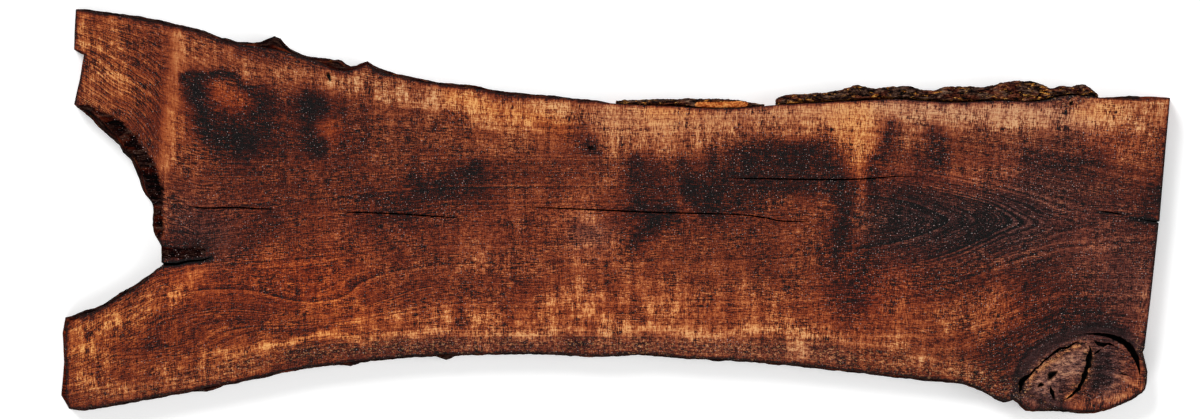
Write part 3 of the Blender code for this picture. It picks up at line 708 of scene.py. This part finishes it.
class Sheet:
    """Points, edges and the height of each point, gathered for one triangulated face."""

    def __init__(self):
        self.points = []
        self.edges = []
        self.holes = []

    def line(self, points, closed=False):
        first = len(self.points)
        self.points += [tuple(p) for p in points]
        last = len(self.points) - 1
        self.edges += [(i, i + 1) for i in range(first, last)]
        if closed:
            self.edges.append((last, first))
        return first

    def groove(self, groove, seed):
        bottom, sides = groove_lines(groove, seed)
        first = self.line(bottom)
        last = len(self.points) - 1
        for edge in sides:
            start = self.line(edge[1:-1])
            self.edges += [(first, start), (len(self.points) - 1, last)]
        left, right = sides[0][:, :2], sides[2][:, :2]
        self.holes.append(np.vstack([left, right[::-1]]))

    def pit(self, pit):
        turn = math.radians(pit.turn)
        angle = np.linspace(0, 2 * math.pi, PIT_SIDES, endpoint=False)
        for size, down in PIT_RINGS:
            ragged = size * (1 + 0.2 * np.sin(3 * angle + pit.x))
            u, v = pit.long * ragged * np.cos(angle), pit.short * ragged * np.sin(angle)
            x = pit.x + u * math.cos(turn) - v * math.sin(turn)
            y = pit.y + u * math.sin(turn) + v * math.cos(turn)
            ring = np.column_stack([x, y])
            self.line(np.column_stack([ring, face_height(ring) - down * pit.depth]), closed=True)
            self.holes.append(ring)
        centre = np.array([(pit.x, pit.y)])
        self.points.append((pit.x, pit.y, face_height(centre)[0] - pit.depth))

    def fill(self, rim, step, wanted, height, clear):
        """Adds a loose triangular grid inside the rim where it is wanted, clear of what is there."""
        tree = KDTree(len(self.points))
        for i, p in enumerate(self.points):
            tree.insert((p[0], p[1], 0), i)
        tree.balance()
        rise = step * math.sqrt(3) / 2
        ends = np.roll(rim, -1, axis=0)
        grid = []
        for row, y in enumerate(np.arange(rim[:, 1].min() + 0.37 * rise, rim[:, 1].max(), rise)):
            cross = (rim[:, 1] > y) != (ends[:, 1] > y)
            a, b = rim[cross], ends[cross]
            xs = np.sort(a[:, 0] + (y - a[:, 1]) / (b[:, 1] - a[:, 1]) * (b[:, 0] - a[:, 0]))
            for low, high in zip(xs[::2], xs[1::2]):
                x = np.arange(low + clear * step, high - clear * step, step) + (row % 2) * step / 2
                x = x[x < high - clear * step]
                grid.append(np.column_stack([x, np.full(len(x), y)]))
        grid = np.vstack(grid)
        grid = grid + np.random.default_rng(7).uniform(-JITTER, JITTER, grid.shape) * step
        grid = grid[wanted(grid)]
        for hole in self.holes:
            grid = grid[~inside(grid, hole)]
        free = [tree.find((x, y, 0))[2] > clear * step for x, y in grid]
        grid = grid[np.array(free)]
        self.points += [tuple(p) for p in np.column_stack([grid, height(grid)])]

    def triangles(self):
        flat = [Vector(p[:2]) for p in self.points]
        made, _, faces, origins, _, _ = delaunay_2d_cdt(flat, self.edges, [], 1, 1e-6)
        for i in range(len(self.points), len(made)):
            raise ValueError("lines on a face cross near " + str(tuple(made[i])))
        return [tuple(origins[i][0] for i in face) for face in faces]


def new_piece(name, points, faces, values, material):
    """A mesh piece from points of the drawing, with a named value for each vertex, riding on the root."""
    mesh = bpy.data.meshes.new(name)
    placed = np.array(points, float)
    placed[:, :2] += SHIFT
    placed = np.clip(placed * MM, *CAD_BOX)
    mesh.from_pydata(placed.tolist(), [], faces)
    for key, value in values.items():
        kind, part = ("FLOAT_VECTOR", "vector") if value.ndim == 2 else ("FLOAT", "value")
        layer = mesh.attributes.new(key, kind, "POINT")
        layer.data.foreach_set(part, value.astype(np.float32).ravel())
    mesh.validate()
    mesh.materials.append(material)
    mesh.shade_smooth()
    obj = bpy.data.objects.new(name, mesh)
    bpy.context.scene.collection.objects.link(obj)
    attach(obj, "root")
    return obj


Rim = namedtuple("Rim", "cad points normals grown still gap run")


def slab_rim(mesh, tree):
    """The slab's top edge, finely divided and uneven where it grew, with what is known of each point."""
    cad = finer(top_rim(mesh), RIM_STEP)
    normals = outward(cad)
    grown, still = edge_kinds(cad, normals)
    gap = half_gaps(tree, cad, normals)
    wobble = rough(cad, GROWN_ROUGH) * grown
    points = cad + normals * (wobble + SPLIT_SHUT[1][0] * gap)[:, None]
    run = np.cumsum(np.linalg.norm(points - np.roll(points, 1, axis=0), axis=1))
    return Rim(cad, points, normals, grown, still, gap, run)


def layer(points, edge=0.0, wall=0.0, split=0.0, bark=0.0):
    """Rows of a point, its place on the wall as three numbers, and its shares of wall, painted shade in a
    split, and bark.
    """
    count = len(points)
    shares = [np.broadcast_to(value, count) for value in (wall, split, bark)]
    return np.column_stack([points, np.broadcast_to(edge, (count, 3)), *shares])


def on_wall(rim, z):
    """The place on the wall of a ring at this height: how far round the rim, nothing, and the height."""
    return np.column_stack([rim.run, np.zeros(len(rim.run)), np.full(len(rim.run), z)])


def wall_layer(tree, rim, share):
    """A ring of the wall, this share of the way down: the CAD wall with finer bark furrows or saw marks."""
    z = THICKNESS * (1 - share)
    out = wall_offsets(tree, rim.cad, rim.normals, min(max(z, 0.5), THICKNESS - 0.3))
    out = out + rim.gap * np.interp(share, *SPLIT_SHUT)
    here = on_wall(rim, z)
    height, scale, seed = WALL_RIDGES
    furrow = rough(here, WALL_ROUGH, 1.3 - height * np.abs(noise_at(here, scale, seed)))
    sawn = rough(here, SAWN_ROUGH) * ~rim.still * (rim.grown < 0.2)
    fade = min(1.0, share / 0.08) * (1.0 if share < 1 else 0.4)
    ring = rim.cad + rim.normals * (out + fade * (furrow * rim.grown * 1.1 + sawn))[:, None]
    # where a split's walls are painted black as shade
    split = (rim.gap > 0.05) * min(1.0, share / 0.04)
    bark = rim.grown * min(1.0, 0.45 + 6 * share)
    return layer(np.column_stack([ring, here[:, 2]]), here, 1.0, split, bark)


def between(above, below):
    """The four-sided faces between two closed rows of points, given by their indices."""
    return np.column_stack([above, below, np.roll(below, -1), np.roll(above, -1)]).tolist()


def on_knot(xy):
    return np.linalg.norm((xy - KNOT_CENTRE) / KNOT_REACH, axis=1) < 1


def off_knot(xy):
    return ~on_knot(xy)


def anywhere(xy):
    return np.ones(len(xy), bool)


def on_floor(xy):
    return np.zeros(len(xy))


def top_sheet(rim):
    """The face with its grooves, pits and knot."""
    sheet = Sheet()
    sheet.line(np.column_stack([rim.points, face_height(rim.points)]), closed=True)
    for i, groove in enumerate(GROOVES):
        sheet.groove(groove, 11.0 + 3 * i)
    for pit in PITS:
        sheet.pit(pit)
    sheet.fill(rim.points, KNOT_STEP, on_knot, face_height, 0.6)
    sheet.fill(rim.points, FACE_STEP, off_knot, face_height, 0.55)
    return sheet


def slab_mesh(tree, rim):
    """The rows of the whole slab's points, and its faces: the face, the walls and the underside."""
    count = len(rim.run)
    sheet = top_sheet(rim)
    faces = sheet.triangles()
    top = np.array(sheet.points)
    rows = [layer(top[:count], on_wall(rim, THICKNESS), bark=0.35 * rim.grown), layer(top[count:])]
    above = np.arange(count)
    first = len(top)
    for share in WALL_LEVELS:
        rows.append(wall_layer(tree, rim, share))
        below = np.arange(first, first + count)
        faces += between(above, below)
        above, first = below, first + count

    under = Sheet()
    foot = rows[-1][:, :3]
    under.line(foot, closed=True)
    under.fill(foot[:, :2], UNDER_STEP, anywhere, on_floor, 0.5)
    rows.append(layer(np.array(under.points[count:])))
    index = np.concatenate([above, np.arange(first, first + len(rows[-1]))])
    faces += [tuple(int(index[i]) for i in reversed(face)) for face in under.triangles()]
    return np.vstack(rows), faces


def slab_piece(material):
    """The whole slab, with the values that its material reads."""
    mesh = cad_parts["slab"].data
    tree = tree_of(mesh)
    rim = slab_rim(mesh, tree)
    rows, faces = slab_mesh(tree, rim)
    points = rows[:, :3]
    wall, split, bark = rows[:, 6:].T
    values = figure(points[:, :2], THICKNESS - points[:, 2])
    inset = distance_to_line(points[:, :2], np.vstack([rim.points[::2], rim.points[:1]]))
    values["wall"] = wall
    values["bark"] = np.maximum(values["bark"], bark)
    values["rim"] = np.exp(-inset / RIM_FADE) * np.clip(points[:, 2], 0, 1)
    # painted shade: black deep in cracks and pits and on the walls of the splits
    values["crack"] = np.maximum(painted_crack_shade(points) * (1 - wall), split)
    values["edge"] = rows[:, 3:6]
    values["knot"] = smooth(knot_mask(points[:, :2]), 0, 0.4) * (points[:, 2] > THICKNESS / 2)
    piece = new_piece("slab_surface", points, faces, values, material)
    piece.data.set_sharp_from_angle(angle=math.radians(SHARP_ANGLE))
    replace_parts(piece, "slab")


def painted_crack_shade(points):
    """Painted shade: 1 deep in a crack or a pit, 0 on the face, the walls and the underside."""
    cracks = [np.array(g.points, float) for g in GROOVES]
    near = np.min([distance_to_line(points[:, :2], line) for line in cracks], axis=0)
    for pit in PITS:
        near = np.minimum(near, np.linalg.norm(points[:, :2] - (pit.x, pit.y), axis=1) - 4)
    below = smooth(THICKNESS - points[:, 2], *CRACK_SHADE_DEPTHS)
    return below * (near < CRACK_SHADE_REACH) * (points[:, 2] > THICKNESS / 2)


def finer_copy(mesh):
    """A CAD mesh welded, with each face cut in sixteen and then smoothed a little."""
    piece = bpy.data.objects.new("finer", mesh.copy())
    bpy.context.scene.collection.objects.link(piece)
    piece.modifiers.new("weld", "WELD").merge_threshold = 1e-5
    divide = piece.modifiers.new("divide", "SUBSURF")
    divide.subdivision_type = "SIMPLE"
    divide.levels = divide.render_levels = 2
    settle = piece.modifiers.new("settle", "SMOOTH")
    settle.factor = 0.5
    settle.iterations = 2
    made = bpy.data.meshes.new_from_object(piece.evaluated_get(bpy.context.evaluated_depsgraph_get()))
    bpy.data.objects.remove(piece)
    return made


def bark_piece(node, material, seed):
    """A bark strip as rough, ridged bark: the CAD strip cut finer and moved along its normals."""
    made = finer_copy(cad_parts[node].data)
    where = np.array([v.co for v in made.vertices]) / MM
    normal = np.array([v.normal for v in made.vertices])
    ridge, fine, crumb = [noise_at(where, s, seed + more) for s, more in zip(BARK_SCALES, (0, 4, 7))]
    ridge = 1 - 2 * np.abs(ridge)
    inner = smooth(-normal[:, 1], 0.2, 0.9)
    lift = sum(height * part for height, part in zip(BARK_HEIGHTS, (ridge, fine, crumb))) - BARK_SUNK
    where = where + normal * (lift * (1 - 0.85 * inner))[:, None]
    where[:, 2] = np.clip(where[:, 2], 1.0, THICKNESS - 0.1)
    tree = tree_of(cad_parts["slab"].data)
    for i in np.flatnonzero(inner > 0.5):
        _, _, _, far = tree.ray_cast(Vector(where[i]) * MM, Vector((0, -1, 0)), BARK_REACH * MM)
        where[i, 1] -= ((far or 0) / MM + 0.3) * np.interp(where[i, 2], *BARK_HANGS_ON)
    points = where.copy()
    points[:, :2] -= SHIFT
    bins = np.round(where[:, 0] / 20).astype(int)
    lowest = {b: where[bins == b, 1].min() for b in np.unique(bins)}
    from_edge = where[:, 1] - np.array([lowest[b] for b in bins])
    swirl = np.exp(-((np.linalg.norm(points[:, :2] - GOLDEN_SWIRL, axis=1) / 20) ** 2))
    bare = 1 - smooth(distance_to_line(points[:, :2], BARE_WOOD), 3.0, 7.0)
    values = {
        # painted shade: how black the low furrows of the bark are painted
        "cleft_shade": np.clip(0.5 - 0.3 * ridge - 0.2 * fine, 0, 1),
        "ridge": ridge,
        "edge": np.exp(-from_edge / 5) + 0.9 * swirl,
        "bare": bare * smooth(where[:, 2], 36, 44),
    }
    faces = [tuple(p.vertices) for p in made.polygons]
    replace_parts(new_piece(node + "_surface", points, faces, values, material), node)


# Materials


class Nodes:
    """Short forms for building a material's node tree."""

    def __init__(self, name):
        self.material = bpy.data.materials.new(name)
        self.material.use_nodes = True
        self.tree = self.material.node_tree
        self.shader = self.tree.nodes["Principled BSDF"]

    def put(self, socket, value):
        if isinstance(value, bpy.types.NodeSocket):
            self.tree.links.new(value, socket)
        elif isinstance(value, tuple) and len(value) == 3 and socket.type == "RGBA":
            socket.default_value = (*value, 1)
        else:
            socket.default_value = value

    def give(self, node, values):
        """Puts values in a node's inputs, by the names of the inputs."""
        for name, value in values.items():
            self.put(node.inputs[name], value)
        return node

    def node(self, kind, *values, **settings):
        """A new node with these settings, and with values in its first inputs."""
        node = self.tree.nodes.new("ShaderNode" + kind)
        for name, setting in settings.items():
            setattr(node, name, setting)
        for socket, value in zip(node.inputs, values):
            self.put(socket, value)
        return node

    def attribute(self, name, output="Fac"):
        return self.node("Attribute", attribute_name=name).outputs[output]

    def place(self):
        """Where a point of the object is, in millimetres."""
        return self.scaled(self.node("TexCoord").outputs["Object"], (1 / MM, 1 / MM, 1 / MM))

    def math(self, operation, *values):
        return self.node("Math", *values, operation=operation).outputs[0]

    def add(self, a, b):
        return self.math("ADD", a, b)

    def times(self, a, b):
        return self.math("MULTIPLY", a, b)

    def linear(self, value, slope, base=1.0):
        """The base and so many times the value."""
        return self.math("MULTIPLY_ADD", value, slope, base)

    def rest(self, share):
        """What a share leaves of 1."""
        return self.math("SUBTRACT", 1.0, share)

    def held(self, value):
        return self.math("MAXIMUM", value, 0.0)

    def hump(self, share):
        """1 where a share is a half, and 0 where it is 0 or 1, so that only a stain's edges break up."""
        return self.times(self.times(share, self.rest(share)), 4.0)

    def total(self, *parts):
        """The sum of some values, each with its weight."""
        value = self.times(*parts[0])
        for part, weight in parts[1:]:
            value = self.linear(part, weight, value)
        return value

    def steps(self, value, low, high, to_low=0.0, to_high=1.0):
        """The value eased from low..high to to_low..to_high."""
        node = self.node("MapRange", value, low, high, to_low, to_high, interpolation_type="SMOOTHSTEP")
        return node.outputs[0]

    def scaled(self, vector, scale):
        return self.node("VectorMath", vector, scale, operation="MULTIPLY").outputs[0]

    def along(self, x, vector):
        """The vector with its first part changed."""
        parts = self.node("SeparateXYZ", vector).outputs
        return self.node("CombineXYZ", x, parts[1], parts[2]).outputs[0]

    def noise(self, where, scale, detail, rough, distortion=0.0):
        """Noise about a half, over a vector scaled on each axis."""
        values = {"Vector": self.scaled(where, scale), "Scale": 1.0, "Detail": detail}
        values.update({"Roughness": rough, "Distortion": distortion})
        return self.give(self.node("TexNoise"), values).outputs["Fac"]

    def even_noise(self, *values):
        """Noise about 0."""
        return self.add(self.noise(*values), -0.5)

    def line_noise(self, value, detail, rough):
        """Noise about 0 that depends on one value alone, so its level lines are that value's."""
        values = {"W": value, "Scale": 1.0, "Detail": detail, "Roughness": rough}
        node = self.node("TexNoise", noise_dimensions="1D")
        return self.add(self.give(node, values).outputs["Fac"], -0.5)

    def ramp(self, value, colours):
        """The colour of this lightness among some 8-bit ones, each of which stands at its own lightness."""
        node = self.node("ValToRGB", value)
        stops = node.color_ramp.elements
        for colour in colours[1:-1]:
            stops.new(lightness(colour)).color = (*as_light(colour), 1)
        for stop, colour in ((stops[0], colours[0]), (stops[len(colours) - 1], colours[-1])):
            stop.position = lightness(colour)
            stop.color = (*as_light(colour), 1)
        return node.outputs[0]

    def mix(self, share, a, b, how="MIX"):
        node = self.node("Mix", share, data_type="RGBA", blend_type=how)
        self.put(node.inputs[6], a)
        self.put(node.inputs[7], b)
        return node.outputs[2]

    def tinted(self, colour, tint):
        return self.mix(1.0, colour, tint, "MULTIPLY")

    def bump(self, height, distance):
        values = {"Height": height, "Distance": distance, "Strength": BUMP_STRENGTH}
        return self.give(self.node("Bump"), values).outputs[0]


# The wood's colours, each at its own lightness, as an eye sees them under the light on the face
LIGHT_ON_FACE = 1.12
GLOSS_ON_FACE = 0.012  # what the gloss adds to every colour
WOOD = (
    (9, 7, 8), (24, 17, 18), (40, 25, 25), (54, 32, 29), (71, 35, 29), (92, 43, 33), (106, 49, 36),
    (120, 58, 40), (142, 72, 46), (166, 93, 59), (184, 113, 73), (205, 139, 92), (228, 176, 126),
)
GREYER_WOOD = (
    (5, 4, 4), (39, 26, 27), (64, 45, 45), (84, 59, 57), (111, 76, 69), (147, 101, 86), (189, 138, 111),
)
BARK = ((5, 4, 4), (20, 15, 15), (38, 29, 29), (70, 53, 47), (108, 83, 69), (158, 130, 110))
GOLDEN = ((60, 28, 14), (140, 76, 30), (206, 134, 56), (240, 192, 112))
# colour of the tiny white glints painted on the dark wood: painted highlights
PAINTED_GLINT = (186, 164, 160)
# near-black painted shade for deep cracks, pits, splits and bark clefts
PAINTED_SHADE_BLACK = (6, 4, 4)
WARMER = (1.15, 0.96, 0.60)
REDDER = (1.10, 0.82, 0.66)
BASE_TONE = 0.255
BUMP_STRENGTH = 0.9
WOOD_BUMP = 0.0012  # metres, as is the next
BARK_BUMP = 0.0016

# Noises about 0 in the wood: over what, scale on each axis in 1/mm, detail, roughness and distortion
WOOD_NOISES = {
    "streak": ("grain", (0.011, 0.15, 0.05), 3, 0.6, 0.4),
    "fibre": ("grain", (0.085, 0.72, 0.3), 2, 0.65),
    "saw": ("sawing", (0.21, 0.020, 0.05), 3, 0.65),
    "saw_fine": ("sawing", (0.55, 0.11, 0.2), 1, 0.6),
    "curl": ("sawing", (0.055, 0.011, 0.02), 2, 0.5),
    "mottle": ("place", (0.05, 0.065, 0.05), 4, 0.6),
    "grit": ("place", (0.46, 0.56, 0.46), 2, 0.8),
    "lumps": ("place", (0.10, 0.22, 0.2), 4, 0.7),
}
WOOD_VALUES = ("dark", "light", "calm", "grey", "warm", "red", "bark", "crack", "rim", "wall", "knot")


def as_light(colour):
    """The linear colour of a surface that shows as this 8-bit one under the light on the face."""
    parts = [v / 255 for v in colour]
    linear = [p / 12.92 if p <= 0.04045 else ((p + 0.055) / 1.055) ** 2.4 for p in parts]
    return tuple(max(v - GLOSS_ON_FACE, 0.001) / LIGHT_ON_FACE for v in linear)


def lightness(colour):
    """How light an 8-bit colour looks, from 0 to 1."""
    return (0.30 * colour[0] + 0.59 * colour[1] + 0.11 * colour[2]) / 255


def wood_values(n):
    """The mesh's values and the noises that the steps of the wood's material share, by their names."""
    w = SimpleNamespace(place=n.place(), grain=n.attribute("grain", "Vector"))
    for name in WOOD_VALUES:
        setattr(w, name, n.attribute(name))
    w.sawing = n.along(n.attribute("saw"), w.place)
    for name, (where, *shape) in WOOD_NOISES.items():
        setattr(w, name, n.even_noise(getattr(w, where), *shape))
    w.on_face = n.rest(w.wall)
    w.crumb = n.times(n.attribute("crumb"), w.on_face)
    w.sawn = n.times(w.wall, n.rest(w.bark))
    w.busy = n.times(n.linear(w.calm, -0.75), n.linear(w.sawn, -0.5))
    w.patchy = n.steps(n.noise(w.place, (0.02, 0.035, 0.03), 2, 0.6), 0.35, 0.65, 0.7, 1.3)
    w.pores = n.steps(n.noise(w.grain, (0.14, 0.75, 0.4), 1, 0.6), 0.66, 0.73)
    crazed = n.math("ABSOLUTE", n.even_noise(w.place, (0.085, 0.10, 0.1), 3, 0.6, 0.8))
    w.crazed = n.times(n.steps(crazed, 0.0, 0.022, 1.0, 0.0), w.knot)
    return w


def wood_tone(n, w):
    """How light the wood is from its stains and pale parts, whose edges are broken up first."""
    breakup = n.total((w.streak, 1.4), (w.mottle, 1.6), (w.curl, 1.1), (w.saw, 0.8), (w.grit, 0.5))
    breakup = n.times(breakup, w.busy)
    w.dark = n.add(w.dark, n.times(breakup, n.hump(w.dark)))
    w.light = n.add(w.light, n.times(breakup, n.times(n.hump(w.light), 0.5)))
    w.stain = n.held(w.dark)
    left = n.rest(n.times(w.stain, n.linear(w.stain, 0.14, 0.61)))
    return n.times(n.times(n.add(n.held(w.light), 1.0), left), BASE_TONE)


def wood_rings(n, w):
    """Growth rings: broad ones, and close ones where they show most, neither too pale nor too dark."""
    ring = n.attribute("ring")
    ringed = n.add(n.attribute("ringed"), w.sawn)
    squared = n.times(ringed, ringed)
    broad = n.line_noise(n.times(ring, 0.115), 3.0, 0.8)
    close = n.line_noise(n.times(ring, 0.42), 1.0, 0.6)
    rings = n.total((n.times(broad, ringed), 0.8), (n.times(close, squared), 0.6))
    rings = n.math("MINIMUM", rings, n.add(w.sawn, n.linear(squared, -0.05, 0.17)))
    return n.math("MAXIMUM", rings, n.linear(squared, -0.13, -0.03))


def wood_texture(n, w):
    """How much lighter or darker a place is than those round it, from saw marks, grain, grit and rings."""
    paler = n.steps(w.light, 0.15, 0.7)
    marks = n.times(n.total((w.saw, 1.0), (w.saw_fine, 1.1)), n.linear(paler, 0.6, 0.8))
    marks = n.times(marks, n.linear(w.knot, -0.8))
    broad = n.times(n.total((w.streak, 0.6), (w.mottle, 1.15), (w.curl, 0.9)), n.linear(paler, 0.6))
    small = n.times(n.total((w.fibre, 3.0), (w.grit, 2.9)), n.linear(paler, -0.35))
    texture = n.times(n.total((broad, 1.0), (small, 1.0), (marks, 1.5)), w.patchy)
    return n.add(texture, n.times(wood_rings(n, w), 3.4))


def wood_colour(n, w):
    """The sawn wood's colour, with its pores, a face darker next to the rim, crazed knot and crumbling inner
    bark.
    """
    tone = wood_tone(n, w)
    depth = n.add(n.total((tone, 0.76), (w.stain, 0.085)), 0.088)
    tone = n.add(tone, n.times(n.times(wood_texture(n, w), w.busy), depth))
    rim, sides = n.times(w.rim, w.on_face), n.add(w.wall, w.sawn)
    for share, change in ((w.pores, -0.45), (rim, -0.75), (sides, -0.22), (w.crazed, -0.55)):
        tone = n.times(tone, n.linear(share, change))
    tone = n.times(tone, n.add(n.times(n.times(w.lumps, 5.0), w.crumb), n.linear(w.crumb, -0.12)))
    tone = n.times(tone, n.linear(n.times(w.lumps, w.knot), 2.2))
    colour = n.mix(w.grey, n.ramp(tone, WOOD), n.ramp(tone, GREYER_WOOD))
    colour = n.mix(w.warm, colour, n.tinted(colour, WARMER))
    return n.mix(w.red, colour, n.tinted(colour, REDDER))


def bark_over(n, w, colour):
    """The colour with charcoal and brown bark over it, and pale flecks and golden chips in the bark."""
    at = n.mix(w.wall, w.place, n.attribute("edge", "Vector"))
    w.bark_rough = n.even_noise(at, (0.035, 0.12, 0.17), 6, 0.66, 0.5)
    tone = n.add(n.times(w.bark_rough, 0.75), n.times(w.grit, 0.30))
    brown = n.steps(n.noise(at, (0.016, 0.05, 0.07), 4, 0.6), 0.48, 0.62)
    bark = n.mix(n.times(brown, 0.8), n.ramp(n.add(tone, 0.125), BARK), n.ramp(n.add(tone, 0.17), WOOD))
    ragged = n.times(n.total((w.grit, 1.0), (w.lumps, 1.0)), n.hump(w.bark))
    w.bark_share = n.steps(n.add(w.bark, ragged), 0.25, 0.6)
    colour = n.mix(w.bark_share, colour, bark)

    flecks = n.add(n.noise(at, (0.19, 0.28, 0.28), 3, 0.7), n.times(w.crumb, 0.05))
    flecks = n.times(n.times(n.steps(flecks, 0.59, 0.65), w.crumb), 0.85)
    colour = n.mix(flecks, colour, n.ramp(n.add(n.times(w.grit, 1.2), 0.6), WOOD))
    chips = n.steps(n.noise(at, (0.05, 0.2, 0.24), 4, 0.7, 0.5), 0.60, 0.66)
    chips = n.times(n.times(chips, brown), n.times(w.bark, w.wall))
    return n.mix(n.times(chips, 0.7), colour, n.ramp(n.add(n.times(w.grit, 1.5), 0.5), GOLDEN))


def wood_material():
    """Oiled, rough-sawn dark wood with its bark, painted white glints, and cracks painted black as shade."""
    n = Nodes("oiled_wood")
    w = wood_values(n)
    colour = bark_over(n, w, wood_colour(n, w))
    # painted highlights: tiny white glints painted into the colour where the wood is dark
    painted_glints = n.steps(n.noise(w.place, (0.46, 0.56, 0.5), 0, 0.5), 0.74, 0.81)
    shown = n.times(n.times(n.steps(w.dark, 0.0, 0.5, 0.4, 1.0), w.patchy), w.busy)
    colour = n.mix(n.times(n.times(painted_glints, shown), w.on_face), colour, as_light(PAINTED_GLINT))
    dull = n.math("MAXIMUM", w.bark_share, w.wall)
    height = n.total(
        (w.saw, 1.0), (w.saw_fine, 0.5), (w.grit, 0.8), (w.pores, -0.3), (w.crazed, -0.8),
        (w.bark_rough, n.times(w.bark_share, 2.5)), (w.lumps, n.times(n.add(w.crumb, w.knot), 2.0)),
    )
    n.give(n.shader, {
        # cracks, pits and splits painted near-black as shade
        "Base Color": n.mix(w.crack, colour, as_light(PAINTED_SHADE_BLACK)),
        "Roughness": n.add(n.steps(w.grit, -0.2, 0.2, 0.36, 0.55), n.times(dull, 0.45)),
        "Specular IOR Level": n.linear(dull, -0.11, 0.12),
        "Normal": n.bump(height, WOOD_BUMP),
    })
    return n.material


def bark_material():
    """Old bark: clefts painted black as shade, grey-brown ridges, golden inner bark and a lens of bare wood.
    """
    n = Nodes("lifted_bark")
    place = n.place()
    coarse = n.even_noise(place, (0.07, 0.2, 0.2), 5, 0.7)
    fine = n.even_noise(place, (0.35, 0.6, 0.6), 3, 0.7)
    tone = n.total((coarse, 1.3), (fine, 0.6), (n.attribute("ridge"), 0.10))
    brown = n.times(n.steps(n.noise(place, (0.03, 0.08, 0.08), 3, 0.6), 0.46, 0.6), 0.5)
    colour = n.mix(brown, n.ramp(n.add(tone, 0.11), BARK), n.ramp(n.add(tone, 0.14), WOOD))
    golden = n.add(n.noise(place, (0.06, 0.22, 0.18), 5, 0.75, 0.8), n.times(n.attribute("edge"), 0.08))
    colour = n.mix(n.steps(golden, 0.60, 0.63), colour, n.ramp(n.linear(fine, 2.2, 0.5), GOLDEN))
    # the bark's furrows painted near-black as shade
    colour = n.mix(n.steps(n.attribute("cleft_shade"), 0.45, 0.85), colour, as_light(PAINTED_SHADE_BLACK))
    bare = n.steps(n.add(n.attribute("bare"), coarse), 0.4, 0.7)
    wood = n.ramp(n.add(n.total((fine, 1.3), (coarse, 1.0)), 0.5), WOOD)
    n.give(n.shader, {
        "Base Color": n.mix(bare, colour, n.tinted(wood, WARMER)),
        "Roughness": 0.85,
        "Specular IOR Level": 0.03,
        "Normal": n.bump(n.linear(fine, 0.5, coarse), BARK_BUMP),
    })
    return n.material


# Stage, light and camera

FLOOR_HALF = 30.0  # metres
FLOOR_LOOKS = {
    "Base Color": (0.95, 0.95, 0.95),
    "Roughness": 0.9,
    "Specular IOR Level": 0.1,
    "Emission Color": (1.0, 1.0, 1.0),
    "Emission Strength": 0.25,
}
SKY_STRENGTH = 0.25
SUNS = (  # name, energy, then elevation, azimuth and spread in degrees; azimuth 0 is from +Y, 90 from +X
    ("key", 2.2, 42, -35, 28),
    ("fill", 1.2, 38, 100, 40),
    ("front", 1.0, 40, 200, 40),
)
LENS = 300.0  # millimetres, as is the sensor
SENSOR = 36.0


def sun(name, energy, elevation, azimuth, spread):
    """A soft light from far away."""
    light = bpy.data.lights.new(name, "SUN")
    light.energy = energy
    light.angle = math.radians(spread)
    obj = bpy.data.objects.new(name, light)
    bpy.context.scene.collection.objects.link(obj)
    a, e = math.radians(azimuth), math.radians(elevation)
    away = Vector((math.sin(a) * math.cos(e), math.cos(a) * math.cos(e), math.sin(e)))
    obj.rotation_euler = away.to_track_quat("Z", "Y").to_euler()


def make_stage():
    """A pale floor under the slab."""
    mesh = bpy.data.meshes.new("floor")
    corners = [(x * FLOOR_HALF, y * FLOOR_HALF, 0) for x, y in ((-1, -1), (1, -1), (1, 1), (-1, 1))]
    mesh.from_pydata(corners, [], [(0, 1, 2, 3)])
    floor = bpy.data.objects.new("floor", mesh)
    bpy.context.scene.collection.objects.link(floor)
    n = Nodes("pale_floor")
    n.give(n.shader, FLOOR_LOOKS)
    mesh.materials.append(n.material)


def make_light():
    """Three soft suns and an even white sky."""
    world = bpy.data.worlds.new("studio")
    bpy.context.scene.world = world
    world.use_nodes = True
    background = world.node_tree.nodes["Background"]
    background.inputs["Color"].default_value = (1, 1, 1, 1)
    background.inputs["Strength"].default_value = SKY_STRENGTH
    for values in SUNS:
        sun(*values)


def make_camera():
    """Straight above, through a long lens, framed as in the photograph."""
    camera = bpy.data.cameras.new("camera")
    camera.lens = LENS
    camera.sensor_width = SENSOR
    camera.clip_start = 0.1
    camera.clip_end = 100.0
    distance = PHOTO_SIZE[0] * PIXEL * LENS / SENSOR
    middle = from_photo(np.array(PHOTO_SIZE) / 2)[0] + SHIFT
    obj = bpy.data.objects.new("camera", camera)
    obj.location = Vector((*middle, THICKNESS + distance)) * MM
    bpy.context.scene.collection.objects.link(obj)
    bpy.context.scene.camera = obj


def main():
    scene = bpy.context.scene
    scene.view_settings.view_transform = "Standard"
    scene.view_settings.look = "None"
    make_camera()
    make_stage()
    make_light()
    slab_piece(wood_material())
    bark = bark_material()
    bark_piece("bark_strip_long", bark, 21.0)
    bark_piece("bark_strip_short", bark, 47.0)


main()
